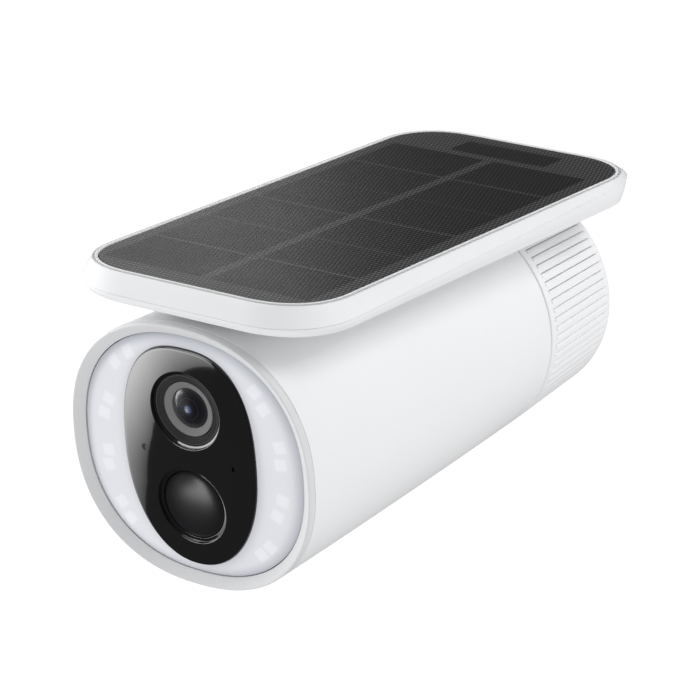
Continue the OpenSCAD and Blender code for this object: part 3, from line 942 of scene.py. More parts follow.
@dataclass
class Face:
    """What the bezel frames: milky diffuser, black panel, lens, motion sensor and small eyes."""

    diff_a: float = 35.2
    diff_b: float = 34.6
    square: float = 2.27
    half_w: float = 21.4
    half_h: float = 31.8
    eye: float = 14.0
    lens_r: float = 10.3
    pir_r: float = 9.9
    rim_r: float = 10.95
    edge_inset: float = 0.55
    crown: float = 0.8
    plateau: float = 1.62
    back: float = -2.6
    pin_v: float = 0.3
    ring_low: float = -0.35
    ring_rise: float = 1.3
    ring_fall: float = 1.7
    lamp_at: tuple[tuple[float, float], ...] = (
        (22, 24), (24.5, 19.5), (29, 9.5), (29, 4.5), (29, -6), (27, -11), (24, -21), (21, -24),
        (-23.3, 23), (-18.5, 27), (-26, 11.5), (-28, 7), (-27.5, -4), (-27.8, -8.5), (-24.5, -19),
        (-22, -23.5))

    def diffuser(self) -> bpy.types.Object:
        """The ring between the bezel and the black panel.

        Its plan blends from the outer squircle to the panel's oval along each polar angle; its
        height rises from the rim by 1 - exp(-distance / ring_fall) and stays level further in.
        """
        phi = angles(640)[None, :]
        s = np.linspace(0, 1, 56)[:, None]
        ox, oy = superellipse(phi, self.diff_a, self.diff_b, self.square)
        ix, iy = oval(phi, self.half_w - 0.4, self.half_h - 0.4)
        x, y = ox + (ix - ox) * s, oy + (iy - oy) * s
        width = np.hypot(ox - ix, oy - iy)
        top = self.ring_low + self.ring_rise * (1 - np.exp(-s * width / self.ring_fall))
        rings = FACE.put(x, y, top)
        under = FACE.put(x[[-1, 0]], y[[-1, 0]], -2.0)
        lip = FACE.put(ox, oy, -0.75)
        skin = Skin().add(np.concatenate([lip, rings, under]), Ends.JOINED)
        piece = skin.piece("diffuser", MILK.make(), sharp=50)
        self.lamps(piece)
        return piece

    def lamps(self, piece: bpy.types.Object) -> None:
        """Writes three point attributes: the lamps' glow, their tint, and the ring's painted shade,
        named depth.

        A lamp's glow is the product of two smooth steps of the distance to its sides, in the
        lamp's own turned square, with a faint halo exp(-distance^2 / 26). The tint is by turns
        cool and warm. The depth is painted shade: a smooth step of the distance from the outer
        rim, a little less beside the black panel, so the ring darkens towards the bezel and
        beside the panel. The lamps sit in pairs, four pairs to a side.

        Args:
            piece: the diffuser.
        """
        centres = np.array(self.lamp_at)
        place = FACE.local(vertex_array(piece.data))
        turn = np.arctan2(centres[:, 1], centres[:, 0])
        d = place[:, None, :2] - centres[None]
        radial = d[..., 0] * np.cos(turn) + d[..., 1] * np.sin(turn)
        along = -d[..., 0] * np.sin(turn) + d[..., 1] * np.cos(turn)
        square = smooth(2.1, 1.6, np.abs(radial)) * smooth(1.95, 1.5, np.abs(along))
        halo = np.exp(-(radial**2 + along**2) / 26)
        glow = np.clip(square.max(1) * 0.7 + halo.sum(1) * 0.1, 0, 1.5)
        tint = (square * (np.arange(len(centres)) % 2)[None]).max(1)
        phi = np.arctan2(place[:, 1], place[:, 0])
        ox, oy = superellipse(phi, self.diff_a, self.diff_b, self.square)
        ix, iy = oval(phi, self.half_w, self.half_h)
        r, ro, ri = np.hypot(place[:, 0], place[:, 1]), np.hypot(ox, oy), np.hypot(ix, iy)
        # painted shade: darker at the outer rim and a little darker beside the black panel
        depth = smooth(-0.5, 3.4, ro - r) * (0.75 + 0.25 * smooth(0, 3.0, r - ri))
        for name, values in (("glow", glow), ("tint", tint), ("depth", depth)):
            layer = piece.data.attributes.new(name, "FLOAT", "POINT")
            layer.data.foreach_set("value", values.astype(np.float32))

    def dome(self, u: Array, v: Array) -> Array:
        """Height of the black panel's front: a shallow paraboloid over the plateau.

        Args:
            u, v: the place on the face.

        Returns:
            The height above the diffuser's edge line.
        """
        return self.plateau + self.crown * (1 - (u / self.half_w) ** 2 - (v / self.half_h) ** 2)

    def panel(self) -> bpy.types.Object:
        """The glossy black panel with its two round openings.

        Each half is a ruled surface from the circle of its opening to the half outline and the
        middle line, lifted to the dome. The edge falls by a quarter ellipse,
        h (1 - sqrt(1 - t^2)), where t runs outwards over the edge's inset.
        """
        skin = Skin()
        arc = np.linspace(0, math.pi, 121)
        inner_a, inner_b = self.half_w - self.edge_inset, self.half_h - self.edge_inset
        line = np.linspace(-inner_a, inner_a, 42)[1:-1]
        s = np.linspace(0, 1, 14)[:, None]
        opening = {1: self.lens_r, -1: self.pir_r}
        for side in (1, -1):
            qx, qy = oval(side * arc, inner_a, inner_b)
            bx, by = np.concatenate([qx, line]), np.concatenate([qy, 0 * line])
            turn = np.arctan2(by - side * self.eye, bx)[None, :]
            cx, cy = np.cos(turn), np.sin(turn)
            rim = self.rim_r + 0.4
            x = rim * cx + (bx[None] - rim * cx) * s
            y = side * self.eye + rim * cy + (by[None] - side * self.eye - rim * cy) * s
            hole = opening[side]
            wall = rounded([(rim, 0.0), (self.rim_r, 0.0),
                            (self.rim_r - 0.04, -0.95), (hole, -1.1), (hole, -5.0)],
                           [0, 0.22, 0.1, 0.1, 0], steps=9)
            hx, hy = wall[::-1, :1] * cx, side * self.eye + wall[::-1, :1] * cy
            hx[-1], hy[-1] = x[0], y[0]
            heights = self.dome(hx, hy) + wall[::-1, 1:2]
            heights[-1] = self.dome(x[0], y[0])
            front = FACE.put(x, y, self.dome(x, y))
            rear = FACE.put(x[::-1], y[::-1], self.back)
            rings = np.concatenate([FACE.put(hx, hy, heights), front[1:]])
            skin.add(rings, Ends.OPEN)
            skin.add(np.concatenate([rear, FACE.put(hx[:1], hy[:1], heights[:1])]), Ends.OPEN)
        phi = np.concatenate([arc, -arc[::-1][1:-1]])[None, :]
        t = np.linspace(0, 1, 12)[:, None]
        inset = self.edge_inset * (1 - t)
        ex, ey = oval(phi, self.half_w - inset, self.half_h - inset)
        top = self.dome(ex[:1], ey[:1])
        w = top - (top - 0.3) * (1 - np.sqrt(1 - t**2))
        side_wall = FACE.put(ex, ey, w)
        foot = FACE.put(ex[-1:], ey[-1:], -0.4)
        under = FACE.put(ex[:1], ey[:1], self.back)
        skin.add(np.concatenate([side_wall, foot, under]), Ends.OPEN)
        return skin.piece("black_panel", GLOSS.make(), sharp=40, weld=True)

    def eye_trim(self) -> list[bpy.types.Object]:
        """Ribbed cone, grey ring and glass of the lens, each a profile turned about its axis.

        The ribs are four equal steps down a cone. The glass is a paraboloid cap.
        """
        steps = np.arange(4)
        ribs = np.stack([np.repeat(9.8 - 0.42 * steps, 4) - np.tile([0, 0.12, 0.2, 0.34], 4),
                         np.repeat(1.25 - 0.2 * steps, 4) - np.tile([0, 0, 0.45, 0.45], 4)], -1)
        baffle = np.concatenate([[(10.2, -6.0), (10.2, 1.05), (9.95, 1.25)], ribs,
                                 [(8.05, 0.1), (8.0, -6.0)]])
        cone = rounded([(7.8, -6.0), (7.8, 0.5), (7.6, 0.6), (5.75, -0.25), (5.75, -1.2),
                        (6.6, -1.2), (6.6, -6.0)], [0, 0.05, 0.1, 0.1, 0, 0, 0], closed=True)
        r = np.linspace(5.7, 0.1, 30)
        bowl = np.stack([r, -0.62 + 1.35 * (1 - (r / 5.7) ** 2)], -1)
        glass = np.concatenate([[(5.7, -1.6)], bowl])
        lens_centre = tuple(FACE.put(np.array(0.0), np.array(self.eye), np.array(0.4)))
        finish = LensFinish("lens_coated", (0.01, 0.01, 0.012), rough=0.2, relief=0.0, grain=60.0,
                            rough_spread=0.01, specular=0.4, centre=lens_centre)
        pieces = []
        for name, profile, material, ends in (
                ("lens_ribs", baffle, RIBBED, Ends.JOINED),
                ("lens_ring", cone, GREY_METAL, Ends.JOINED),
                ("lens_glass", glass, finish, Ends.POLES)):
            rings = revolve(FACE, profile, 0, self.eye, 144)
            pieces.append(Skin().add(rings, ends).piece(name, material.make(), sharp=25))
        return pieces

    def sensor_dome(self) -> bpy.types.Object:
        """The motion sensor's dome: an ellipse quarter turned about its axis, on a short skirt."""
        t = np.linspace(0, math.pi / 2 - 0.02, 26)
        crest = np.stack([9.7 * np.cos(t), 0.55 + 2.0 * np.sin(t)], -1)
        profile = np.concatenate([[(9.2, -5.0), (9.7, -4.6)], crest])
        skin = Skin().add(revolve(FACE, profile, 0, -self.eye, 144))
        return skin.piece("sensor_dome", DOME.make())

    def pin_eyes(self) -> list[bpy.types.Object]:
        """The microphone's hole as a dark cup with a fine rim, its black painted shade for the open
        hole, and the status light's window.
        """
        u = self.half_w / 3 * 2
        pieces = []
        for name, x, size, rim, material in (("mic_hole", u, 0.72, 0.015, HOLE_SHADE),
                                             ("status_window", -u, 1.15, 0.06, WINDOW)):
            w = float(self.dome(np.array(x), np.array(self.pin_v)))
            profile = rounded([(size * 0.12, w + 0.01), (size * 0.72, w + 0.01),
                               (size * 0.9, w + rim), (size, w - 0.3)], [0, 0.04, 0.05, 0], steps=5)
            rings = revolve(FACE, profile, x, self.pin_v, 48)
            pieces.append(Skin().add(rings).piece(name, material.make()))
        return pieces

    def build(self) -> None:
        """Makes the face's pieces and places them on the camera body."""
        finish_piece(self.diffuser(), "camera", "diffuser", "diffuser_ring")
        finish_piece(self.panel(), "camera", "black_glass", "front_panel")
        ribs, ring, glass = self.eye_trim()
        finish_piece(ribs, "camera", "baffle", "lens_baffle")
        finish_piece(ring, "camera", "black_plastic", "lens_retainer")
        finish_piece(glass, "camera", "lens_glass", "front_lens")
        finish_piece(self.sensor_dome(), "camera", "pir_plastic", "pir_dome")
        mic, window = self.pin_eyes()
        finish_piece(mic, "camera", "black_plastic")
        finish_piece(window, "camera", "window", "light_window")


@dataclass
class Collar:
    """The rear collar, with shallow flutes between a smooth band and a rounded rear edge."""

    front_r: float = 35.1
    rear_r: float = 33.1
    length: float = 40.0
    lip_r: float = 29.3
    bore_r: float = 31.9
    flutes: int = 80
    depth: float = 0.4
    gutter: float = 0.8
    smooth_band: float = 3.0
    per_flute: int = 24

    def build(self) -> None:
        """Makes the collar.

        The outer radius runs straight from rear to front. Each flute is a saw tooth: it deepens
        by the power 1.3 of the way across, up to a steep wall at half its pitch. A narrow gutter
        follows the wall's foot, and a shallower ditch closes the front end. A smooth step at each
        end fades all of it into the smooth bands.
        """
        phi = angles(self.flutes * self.per_flute)[None, :]
        front = self.length - self.smooth_band
        w = np.concatenate([np.linspace(3.0, 6.0, 7), np.linspace(8, 35, 14),
                            np.linspace(front - 1.0, front, 11), [38.5, 39.5]])[:, None]
        cone = self.rear_r + (self.front_r - self.rear_r) * (w - 3) / (self.length - 3)
        across = np.mod(phi * self.flutes / FULL, 1)
        wall = smooth(0.54, 0.5, across)
        recess = np.clip((across - 0.02) / 0.48, 0, 1) ** 1.3 * wall
        gutter = smooth(0.40, 0.43, across) * wall
        span = smooth(2.6, 5.0, w) * smooth(front, front - 0.25, w)
        ditch = smooth(front - 0.75, front - 0.5, w) * smooth(0.05, 0.12, across) * wall
        r = cone - (self.depth * recess + self.gutter * np.maximum(gutter, ditch * 0.8)) * span
        outer = AXIS.put(r * np.cos(phi), r * np.sin(phi), w)
        t = np.linspace(0, math.pi / 2, 9)[:-1]
        rear = np.stack([self.rear_r - 3 + 3 * np.sin(t), 3 - 3 * np.cos(t)], -1)
        inside = np.array([(self.bore_r, 3.9), (self.lip_r, 3.9), (self.lip_r, 0.35),
                           (self.lip_r + 0.35, 0)])
        nose = np.array([(self.front_r - 0.3, self.length - 0.2),
                         (self.bore_r, self.length - 0.2)])
        count = phi.shape[1]
        skin = Skin().add(np.concatenate([revolve(AXIS, inside, count=count),
                                          revolve(AXIS, rear, count=count), outer,
                                          revolve(AXIS, nose, count=count)]), Ends.JOINED)
        piece = skin.piece("collar", WHITE.make(), sharp=38)
        finish_piece(piece, "collar", "white_shell", "rear_collar")


@dataclass
class RearPlate:
    """The rear plate's fittings: thread, rubber cover, two buttons and two screws."""

    button_x: float = 9.0
    button_z: float = 16.0
    button_r: float = 4.0
    mark_r: float = 1.35
    mark_tube: float = 0.16
    port_z: float = -15.0
    screw_x: float = 22.0
    thread_r: float = 3.0
    thread_pitch: float = 1.27
    thread_depth: float = 10.5
    insert_r: float = 4.6

    def cover(self) -> bpy.types.Object:
        """The rubber cover: a soft rectangle with a raised rim, a pull tab and three grip bars."""
        def outline(inset: Array) -> tuple[Array, Array]:
            """The cover's outline, set in by an offset."""
            x, y = soft_rectangle(13.7 - inset, -6.2 + inset, 6.2 - inset, 4.8 - 0.6 * inset, 14)
            return x, y + self.port_z

        profile = rounded([(0.6, -2.75), (0.0, -2.5), (0.0, -0.95), (0.45, -0.72), (1.1, -0.72),
                           (1.35, -0.98), (3.3, -0.98)], [0, 0.1, 0.25, 0.15, 0.12, 0.1, 0])
        skin = Skin().add(carry(REAR, profile, outline))
        phi = angles(64)[None, :]
        x, y = superellipse(phi, 3.4, 1.2, 2.6)
        size = np.array([1.0, 1.0, 0.9, 0.6, 0.1])[:, None]
        w = np.array([-1.1, -0.78, -0.56, -0.5, -0.49])[:, None]
        skin.add(REAR.put(size * x, self.port_z - 3.4 + size * y, w))
        for k in range(3):
            middle = self.port_z - 0.4 + 1.3 * k
            skin.add(REAR.put(size * x * 0.9, middle + size * y * 0.22, w - 0.2))
        return skin.piece("rubber_cover", RUBBER.make())

    def button(self, side: int, name: str) -> bpy.types.Object:
        """One push button: a dished cap with a mark raised on it.

        The power button's mark is a broken ring round a short bar; the sync button's is a ring.

        Args:
            side: 1 for the power button, -1 for the sync button.
            name: the piece's name.

        Returns:
            The piece.
        """
        x = side * self.button_x
        cap = rounded([(0.12, -0.42), (2.6, -0.34), (3.5, -0.12), (self.button_r, -0.3),
                       (self.button_r, -3.3)], [0, 1.5, 0.4, 0.25, 0])
        skin = Skin().add(revolve(REAR, cap, x, self.button_z, 72))
        gap = 0.9 if side > 0 else 0.0
        start, bite = math.pi / 2, gap / self.mark_r
        turn = np.linspace(start + bite, start + FULL - bite - 0.01, 60)
        tube = angles(8)[None, :]
        r = self.mark_r + self.mark_tube * np.cos(tube)
        ring = REAR.put(x + r * np.cos(turn)[:, None], self.button_z + r * np.sin(turn)[:, None],
                        -0.38 + 0.14 * np.sin(tube))
        skin.add(ring, Ends.POLES if gap else Ends.JOINED)
        if gap:
            up = np.linspace(0.2, 1.7, 8)[:, None]
            skin.add(REAR.put(x + self.mark_tube * np.cos(tube), self.button_z + up,
                              -0.38 + 0.14 * np.sin(tube)))
        return skin.piece(name, BUTTON.make())

    def build(self) -> None:
        """Makes the fittings and places each on its body."""
        rings = thread(REAR, self.thread_r, self.thread_pitch, self.thread_depth, self.insert_r)
        insert = Skin().add(rings).piece("thread_insert", BRASS.make())
        finish_piece(insert, "camera", "brass", "tripod_insert")
        screws = Skin()
        for side in (-1, 1):
            screws.add(pan_screw(REAR, side * self.screw_x, 0, -0.75, 2.5, 1.5))
        finish_piece(screws.piece("plate_screws", STEEL.make()), "camera", "steel", "end_screws")
        finish_piece(self.cover(), "port_cover", "port_rubber", "port_cover")
        finish_piece(self.button(1, "button_power"), "power_button", "grey_plastic", "power_button")
        finish_piece(self.button(-1, "button_sync"), "sync_button", "grey_plastic", "sync_button")


@dataclass
class SolarPanel:
    """The solar panel: lipped frame, lower shell, embossed film and its screws underneath."""

    half_w: float = 37.5
    half_l: float = 87.0
    over_front: float = 4.15
    over_rear: float = 3.4
    thick: float = 8.3
    crease_w: float = -3.45
    crease_tilt: float = 1.36
    reach: float = 19.0
    cap: float = -16.0
    screw_x: float = 30.0
    screw_y: float = 72.0

    def outline(self, offset: Array, extra_front: Array) -> tuple[Array, Array]:
        """The laminate's outline grown, and a little more towards the front.

        Each point moves along the difference of two outlines one millimetre apart.

        Args:
            offset: how far it grows at the rear.
            extra_front: how much more it grows at the front, in a straight line from the rear.

        Returns:
            The two coordinates.
        """
        x, y = soft_rectangle(self.half_w, -self.half_l, self.half_l, self.reach, 24)
        wide, deep = soft_rectangle(self.half_w + 1, -self.half_l - 1, self.half_l + 1,
                                    self.reach + 1, 24)
        share = (self.half_l - y) / (2 * self.half_l)
        grow = offset + extra_front * share
        return x + (wide - x) * grow, y + (deep - y) * grow

    def ring(self, offset: float, height: float, extra: float = 0.0, follow: float = 0.0) -> Array:
        """One ring of the panel.

        Args:
            offset: how far outside the laminate's outline it runs.
            height: above the laminate's face.
            extra: how much further out it runs at the front than at the rear.
            follow: how far its height leans with the parting line, from 0 to 1.

        Returns:
            The ring's points.
        """
        x, y = self.outline(np.array([[offset]]), np.array([[extra]]))
        lean = math.tan(math.radians(self.crease_tilt)) * y * follow
        return PANEL.put(x, y, height + lean)

    def frame(self) -> bpy.types.Object:
        """The frame: thin bright lip, fine groove, and a wall that flares out to the crease.

        The wall's offset grows in a straight line with s while its depth grows by s^1.25, and it
        takes on the crease's lean by s^1.6. A ring is (offset, height, extra, follow).
        """
        extra = self.over_front - self.over_rear
        over, c = self.over_rear, self.crease_w
        rings = [(0.08, -1.8, 0, 0), (0.08, -0.05, 0, 0), (0.13, 0.1, 0, 0), (0.3, 0.2, 0, 0),
                 (0.78, 0.2, 0, 0), (0.9, 0.12, 0, 0), (0.94, -0.5, 0, 0), (1.52, -0.5, 0, 0),
                 (1.56, -0.14, 0, 0), (1.66, -0.16, 0.06 * extra, 0.02)]
        t = np.linspace(0.15, 0.93, 10)
        wall = [(1.45 + (over - 1.45) * s, (c + 0.1) * s**1.25, extra * s, s**1.6) for s in t]
        rings += wall
        rings += [(over - 0.08, c + 0.22, extra, 1), (over, c + 0.02, extra, 1),
                  (over - 0.1, c - 0.14, extra, 1), (over - 0.6, c - 0.14, extra, 1),
                  (-0.8, c - 0.14, 0, 1)]
        stack = np.concatenate([self.ring(o, h, e, f) for o, h, e, f in rings])
        return Skin().add(stack, Ends.JOINED).piece("panel_rim", WHITE_GLOSS.make(), sharp=45)

    def lip_seal(self) -> bpy.types.Object:
        """A grey strip that fills the groove between the lip and the wall; its grey is painted
        shade for the groove.
        """
        rings = [(0.96, -0.49), (0.96, -0.02), (1.04, 0.05), (1.42, 0.02), (1.5, -0.06),
                 (1.5, -0.49)]
        stack = np.concatenate([self.ring(offset, height) for offset, height in rings])
        return Skin().add(stack, Ends.JOINED).piece("lip_seal", GROOVE_SHADE.make(), sharp=45)

    def base(self) -> bpy.types.Object:
        """The lower shell: a band that draws in below the crease and a flat underside.

        The band's offset shrinks by the power 1.6 of the way down; a quarter ellipse turns it
        into the underside.
        """
        extra = self.over_front - self.over_rear
        over, c, deep = self.over_rear, self.crease_w, self.thick
        rings = [(over - 1.2, c - 0.24, extra, 1), (over - 0.22, c - 0.24, extra, 1),
                 (over - 0.16, c - 0.36, extra, 1)]
        t = np.linspace(0, 1, 8)
        rings += [(over - 0.18 - 1.2 * s**1.6, c - 0.4 + (0.85 - c - deep) * s, extra, 1 - s)
                  for s in t]
        bend = np.linspace(0.15, 1, 8) * math.pi / 2
        rings += [(over - 1.38 - 0.6 * (1 - math.cos(b)), 0.45 * (1 - math.sin(b)) - deep,
                   extra, 0) for b in bend]
        rings += [(-4.0, -deep, 0, 0), (self.cap, -deep, 0, 0)]
        stack = np.concatenate([self.ring(o, h, e, f) for o, h, e, f in rings])
        return Skin().add(stack).piece("panel_shell", WHITE.make(), sharp=45)

    def film(self) -> bpy.types.Object:
        """The embossed film over the cells: a flat sheet with a softened edge."""
        rings = [(0.0, -1.7), (0.0, -0.4), (-0.1, -0.28), (-0.3, 0.0), (-6.0, 0.0),
                 (self.cap, 0.0)]
        stack = np.concatenate([self.ring(o, h) for o, h in rings])

        def planar(points: Array) -> Array:
            """Hundreds of millimetres across, and back from the front edge."""
            local = PANEL.local(points)
            return np.stack([local[:, 0], local[:, 1] + self.half_l], -1) / 100

        return Skin(uv=planar).add(stack).piece("solar_film", FILM.make())

    def build(self) -> None:
        """Makes the pieces and places them on the solar panel's body."""
        finish_piece(self.frame(), "solar_panel", "white_shell", "panel_frame")
        finish_piece(self.lip_seal(), "solar_panel", "white_shell")
        finish_piece(self.base(), "solar_panel", "white_shell", "panel_base")
        finish_piece(self.film(), "solar_panel", "laminate", "solar_laminate")
        under = Place.turned(PANEL.origin, 180 - PANEL_SLOPE)
        skin = Skin()
        for x in (-self.screw_x, self.screw_x):
            for y in (-self.screw_y, self.screw_y):
                skin.add(pan_screw(under, x, y, self.thick + 0.25, 2.3, 1.0))
        screws = skin.piece("shell_screws", STEEL.make())
        finish_piece(screws, "solar_panel", "steel", "panel_screws")


@dataclass
class CarriedParts:
    """The frame's own parts that stay as they are and get their finish here."""

    finishes: dict[str, Finish] = field(default_factory=lambda: {
        "front_gasket": SEAL_AND_GAP_SHADE, "lens_barrel": DARK_AND_SLOT_SHADE, "sensor_board": BOARD, "pir_sensor": STEEL,
        "microphone": GOLD, "led_board": LED_BOARD, "led_emitters": LED,
        "front_carrier": INNER_GREY,
        "carrier_screws": STEEL, "chassis": INNER_GREY, "main_board": BOARD, "shield_cans": STEEL,
        "battery_tray": INNER_GREY, "battery_cells": BATTERY, "speaker": DARK_AND_SLOT_SHADE, "antenna": GOLD,
        "end_plate": PLATE, "end_seal": SEAL_AND_GAP_SHADE, "usb_socket": STEEL, "card_slot": STEEL,
        "button_switches": STEEL, "spring_contacts": GOLD, "solar_cells": CELL,
        "cell_backing": BACKING, "junction_block": DARK_AND_SLOT_SHADE, "swivel_post": WHITE, "swivel_ring": STEEL,
        "swivel_washer": NYLON, "contact_board": BOARD, "swivel_screws": STEEL})
    softened: tuple[str, ...] = ("end_plate", "swivel_post", "shield_cans", "chassis",
                                 "battery_tray")

    def build(self, nodes: dict[str, bpy.types.Object]) -> None:
        """Dresses each carried node, and softens the edges of the largest moulded ones.

        Args:
            nodes: the frame's objects by name.
        """
        for name, finish in self.finishes.items():
            thing = nodes[name]
            thing.data.materials.clear()
            thing.data.materials.append(finish.make())
            if name in self.softened:
                merge = thing.modifiers.new("Weld", "WELD")
                merge.merge_threshold = WELD_WITHIN
                bevel = thing.modifiers.new("Bevel", "BEVEL")
                bevel.width, bevel.segments, bevel.limit_method = 0.15 * MM, 2, "ANGLE"
                bevel.angle_limit = math.radians(50)
            log.info("%s keeps its shape, finish %s", name, finish.name)


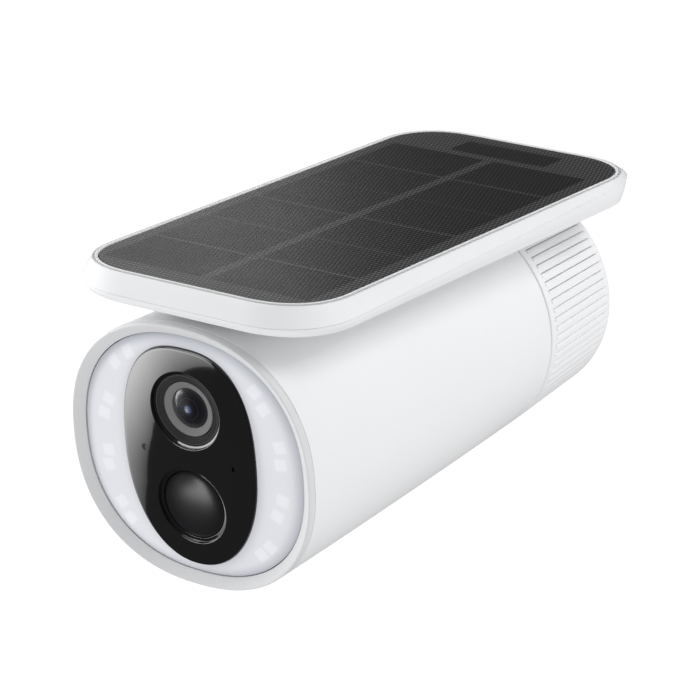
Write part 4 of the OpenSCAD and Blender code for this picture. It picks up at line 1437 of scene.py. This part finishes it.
@dataclass
class Studio:
    """Pale floor, soft lights and the camera."""

    eye: Triple = (0.4808, -0.8251, 0.3386)
    forward: Triple = (-0.5136, 0.7818, -0.3536)
    lens: float = 170.7
    sensor: float = 36.0
    floor_z: float = -0.30
    mirror_at: Triple = (-136.8, -338.3, -124.9)
    mirror_right: Triple = (-0.7735, 0.6338, 0.0)
    mirror_up: Triple = (-0.3200, -0.3905, 0.8632)
    mirror_sweep: tuple[float, float] = (-40, 112)
    mirror_outer: float = 190.0
    mirror_shift: tuple[float, float] = (-12, -16)
    mirror_turn: tuple[float, ...] = (-40, -12, 6, 35, 61, 80, 94, 111)
    mirror_inner: tuple[float, ...] = (72, 59, 51, 49, 54, 61, 64, 68)
    sky: float = 0.45
    floor_glow: float = 0.92

    def camera(self) -> None:
        """The camera at the viewing place, level."""
        data = bpy.data.cameras.new("camera")
        data.lens, data.sensor_width = self.lens, self.sensor
        data.clip_start, data.clip_end = 0.01, 100
        thing = bpy.data.objects.new("camera", data)
        thing.location = self.eye
        thing.rotation_mode = "QUATERNION"
        thing.rotation_quaternion = Vector(self.forward).to_track_quat("-Z", "Y")
        bpy.context.scene.collection.objects.link(thing)
        bpy.context.scene.camera = thing

    def softbox(self, name: str, at: Triple, aim: Triple, size: tuple[float, float],
                power: float, shiny: bool = True) -> None:
        """One rectangular area light, unseen by the camera.

        Args:
            name: the light's name.
            at, aim: where it stands and what it faces, in metres.
            size: width and height.
            power: in watts.
            shiny: whether reflections show it.
        """
        data = bpy.data.lights.new(name, "AREA")
        data.shape, data.size, data.size_y, data.energy = "RECTANGLE", size[0], size[1], power
        thing = bpy.data.objects.new(name, data)
        thing.location = at
        thing.rotation_mode = "QUATERNION"
        thing.rotation_quaternion = (Vector(aim) - Vector(at)).to_track_quat("-Z", "Y")
        thing.visible_camera = False
        thing.visible_glossy = shiny
        bpy.context.scene.collection.objects.link(thing)

    def world(self) -> None:
        """A pale sky: white to the camera, softer as a light, dim in reflections."""
        world = bpy.data.worlds.new("studio")
        bpy.context.scene.world = world
        world.use_nodes = True
        g = Graph(world.node_tree)
        path = g.node("LightPath")
        up = g.node("SeparateXYZ", {0: g.node("TexCoord").outputs["Generated"]}).outputs[2]
        level = g.node("MapRange", {
            "Value": up, "From Min": -1.0, "From Max": 1.0,
            "To Min": self.sky * 1.05, "To Max": self.sky * 0.95}).outputs[0]
        low = g.step(0.75, 0.5, up)
        dim = g.math("MULTIPLY", level, g.math("SUBTRACT", 1.0, g.math(
            "MULTIPLY", path.outputs["Is Glossy Ray"], g.math("MULTIPLY", low, 0.85))))
        seen = g.math("MAXIMUM", path.outputs["Is Camera Ray"], dim)
        world.node_tree.nodes["Background"].inputs["Strength"].default_value = 1.0
        world.node_tree.links.new(seen, world.node_tree.nodes["Background"].inputs["Color"])

    def floor(self) -> None:
        """A wide pale floor well below the camera body, which hangs free above it."""
        mesh = bpy.data.meshes.new("floor")
        mesh.from_pydata([(-6, -6, self.floor_z), (6, -6, self.floor_z), (6, 6, self.floor_z),
                          (-6, 6, self.floor_z)], [], [(0, 1, 2, 3)])
        material = bpy.data.materials.new("floor_pale")
        material.use_nodes = True
        g = Graph(material.node_tree)
        shader = material.node_tree.nodes["Principled BSDF"]
        shader.inputs["Base Color"].default_value = (0.05, 0.05, 0.05, 1)
        shader.inputs["Specular IOR Level"].default_value = 0.0
        seen = g.node("LightPath").outputs["Is Camera Ray"]
        pale = g.math("ADD", self.floor_glow, g.math("MULTIPLY", seen, 1.02 - self.floor_glow))
        g.tree.links.new(pale, shader.inputs["Emission Color"])
        shader.inputs["Emission Strength"].default_value = 1.0
        mesh.materials.append(material)
        thing = bpy.data.objects.new("floor", mesh)
        thing.visible_glossy = False
        bpy.context.scene.collection.objects.link(thing)

    def reflector(self) -> None:
        """A curved softbox that only reflections see, brighter away from its inner edge.

        It is a part ring in the plane across the black panel's mirror direction. Its inner
        radius follows mirror_inner at the angles mirror_turn, in straight lines. Its light,
        written to the mesh, rises in a straight line over the first 26 mm from there, and more
        steeply towards the top.
        """
        turn = np.radians(np.linspace(*self.mirror_sweep, 60))[None, :]
        inner = np.interp(np.degrees(turn), self.mirror_turn, self.mirror_inner)
        r = inner + (self.mirror_outer - inner) * np.linspace(0, 1, 24)[:, None] ** 1.6
        a, b = r * np.cos(turn) + self.mirror_shift[0], r * np.sin(turn) + self.mirror_shift[1]
        middle, right, up = (np.array(axis) for axis in (
            self.mirror_at, self.mirror_right, self.mirror_up))
        points = (middle + a[..., None] * right + b[..., None] * up).reshape(-1, 3) * MM
        m, n = r.shape[0], turn.shape[1]
        i, j = np.arange(m - 1)[:, None], np.arange(n - 1)[None, :]
        quads = np.stack([i * n + j, i * n + j + 1, (i + 1) * n + j + 1, (i + 1) * n + j], -1)
        mesh = bpy.data.meshes.new("reflector")
        mesh.from_pydata(points.tolist(), [], quads.reshape(-1, 4).tolist())
        top = smooth(0, math.radians(60), turn)
        light = (0.5 + 1.1 * top + np.minimum(r - inner, 26) * (0.12 + 0.11 * top)).ravel()
        layer = mesh.attributes.new("light", "FLOAT", "POINT")
        layer.data.foreach_set("value", light.astype(np.float32))
        material = bpy.data.materials.new("reflector_light")
        material.use_nodes = True
        g = Graph(material.node_tree)
        shader = material.node_tree.nodes["Principled BSDF"]
        shader.inputs["Base Color"].default_value = (0, 0, 0, 1)
        g.tree.links.new(g.node("Attribute", attribute_name="light").outputs["Fac"],
                         shader.inputs["Emission Strength"])
        shader.inputs["Emission Color"].default_value = (1, 1, 1, 1)
        mesh.materials.append(material)
        thing = bpy.data.objects.new("reflector", mesh)
        thing.visible_camera = thing.visible_diffuse = thing.visible_shadow = False
        thing.visible_transmission = False
        bpy.context.scene.collection.objects.link(thing)

    def build(self) -> None:
        """Makes the camera, the world, the floor and the lights."""
        bpy.context.scene.view_settings.view_transform = "Standard"
        self.camera()
        self.world()
        self.floor()
        middle = (0, -0.08, 0)
        self.softbox("key_right", (0.85, 0.15, 0.95), middle, (0.55, 0.55), 6.1, shiny=False)
        self.softbox("front", (0.0, -1.15, 0.15), middle, (0.6, 0.6), 1.9, shiny=False)
        self.softbox("left", (-1.1, -0.3, 0.3), middle, (0.6, 0.6), 12.5, shiny=False)
        self.softbox("rear_right", (0.8, 0.8, 0.3), middle, (0.6, 0.6), 3.2, shiny=False)
        self.softbox("lens_light", (-0.57, -0.51, -0.20), (0, -0.17, 0.015), (0.45, 0.45), 7.0)
        self.softbox("panel_sheen", (-0.24, 0.10, 0.17), (0, -0.15, 0.05), (0.18, 0.14), 0.11)
        self.softbox("dome_light", (-0.27, -0.69, -0.12), (0, -0.17, -0.01), (0.3, 0.3), 1.6)
        self.softbox("edge_left", (-0.95, -0.1, 0.16), (0, -0.17, 0), (1.3, 0.9), 8.0)
        self.softbox("edge_top", (-0.40, -0.62, 0.85), (0, -0.17, 0), (0.9, 0.7), 9.0)
        self.reflector()

    def link(self) -> None:
        """Restricts each light that is there for one glossy piece to that piece."""
        for light, name in (("reflector", "black_panel"), ("edge_left", "black_panel"),
                            ("edge_top", "black_panel"), ("lens_light", "lens_glass"),
                            ("dome_light", "sensor_dome"), ("panel_sheen", "solar_film")):
            lit = bpy.data.collections.new(light + "_lit")
            lit.objects.link(bpy.data.objects[name])
            linking = bpy.data.objects[light].light_linking
            linking.receiver_collection = lit
            linking.blocker_collection = lit


def main() -> None:
    """Builds every sub-assembly in order round the frame."""
    logging.basicConfig(level=logging.INFO, format="%(name)s %(message)s")
    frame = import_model()
    studio = Studio()
    studio.build()
    Barrel().build()
    Face().build()
    Collar().build()
    RearPlate().build()
    SolarPanel().build()
    CarriedParts().build(frame["nodes"])
    studio.link()


if __name__ == "__main__":
    main()
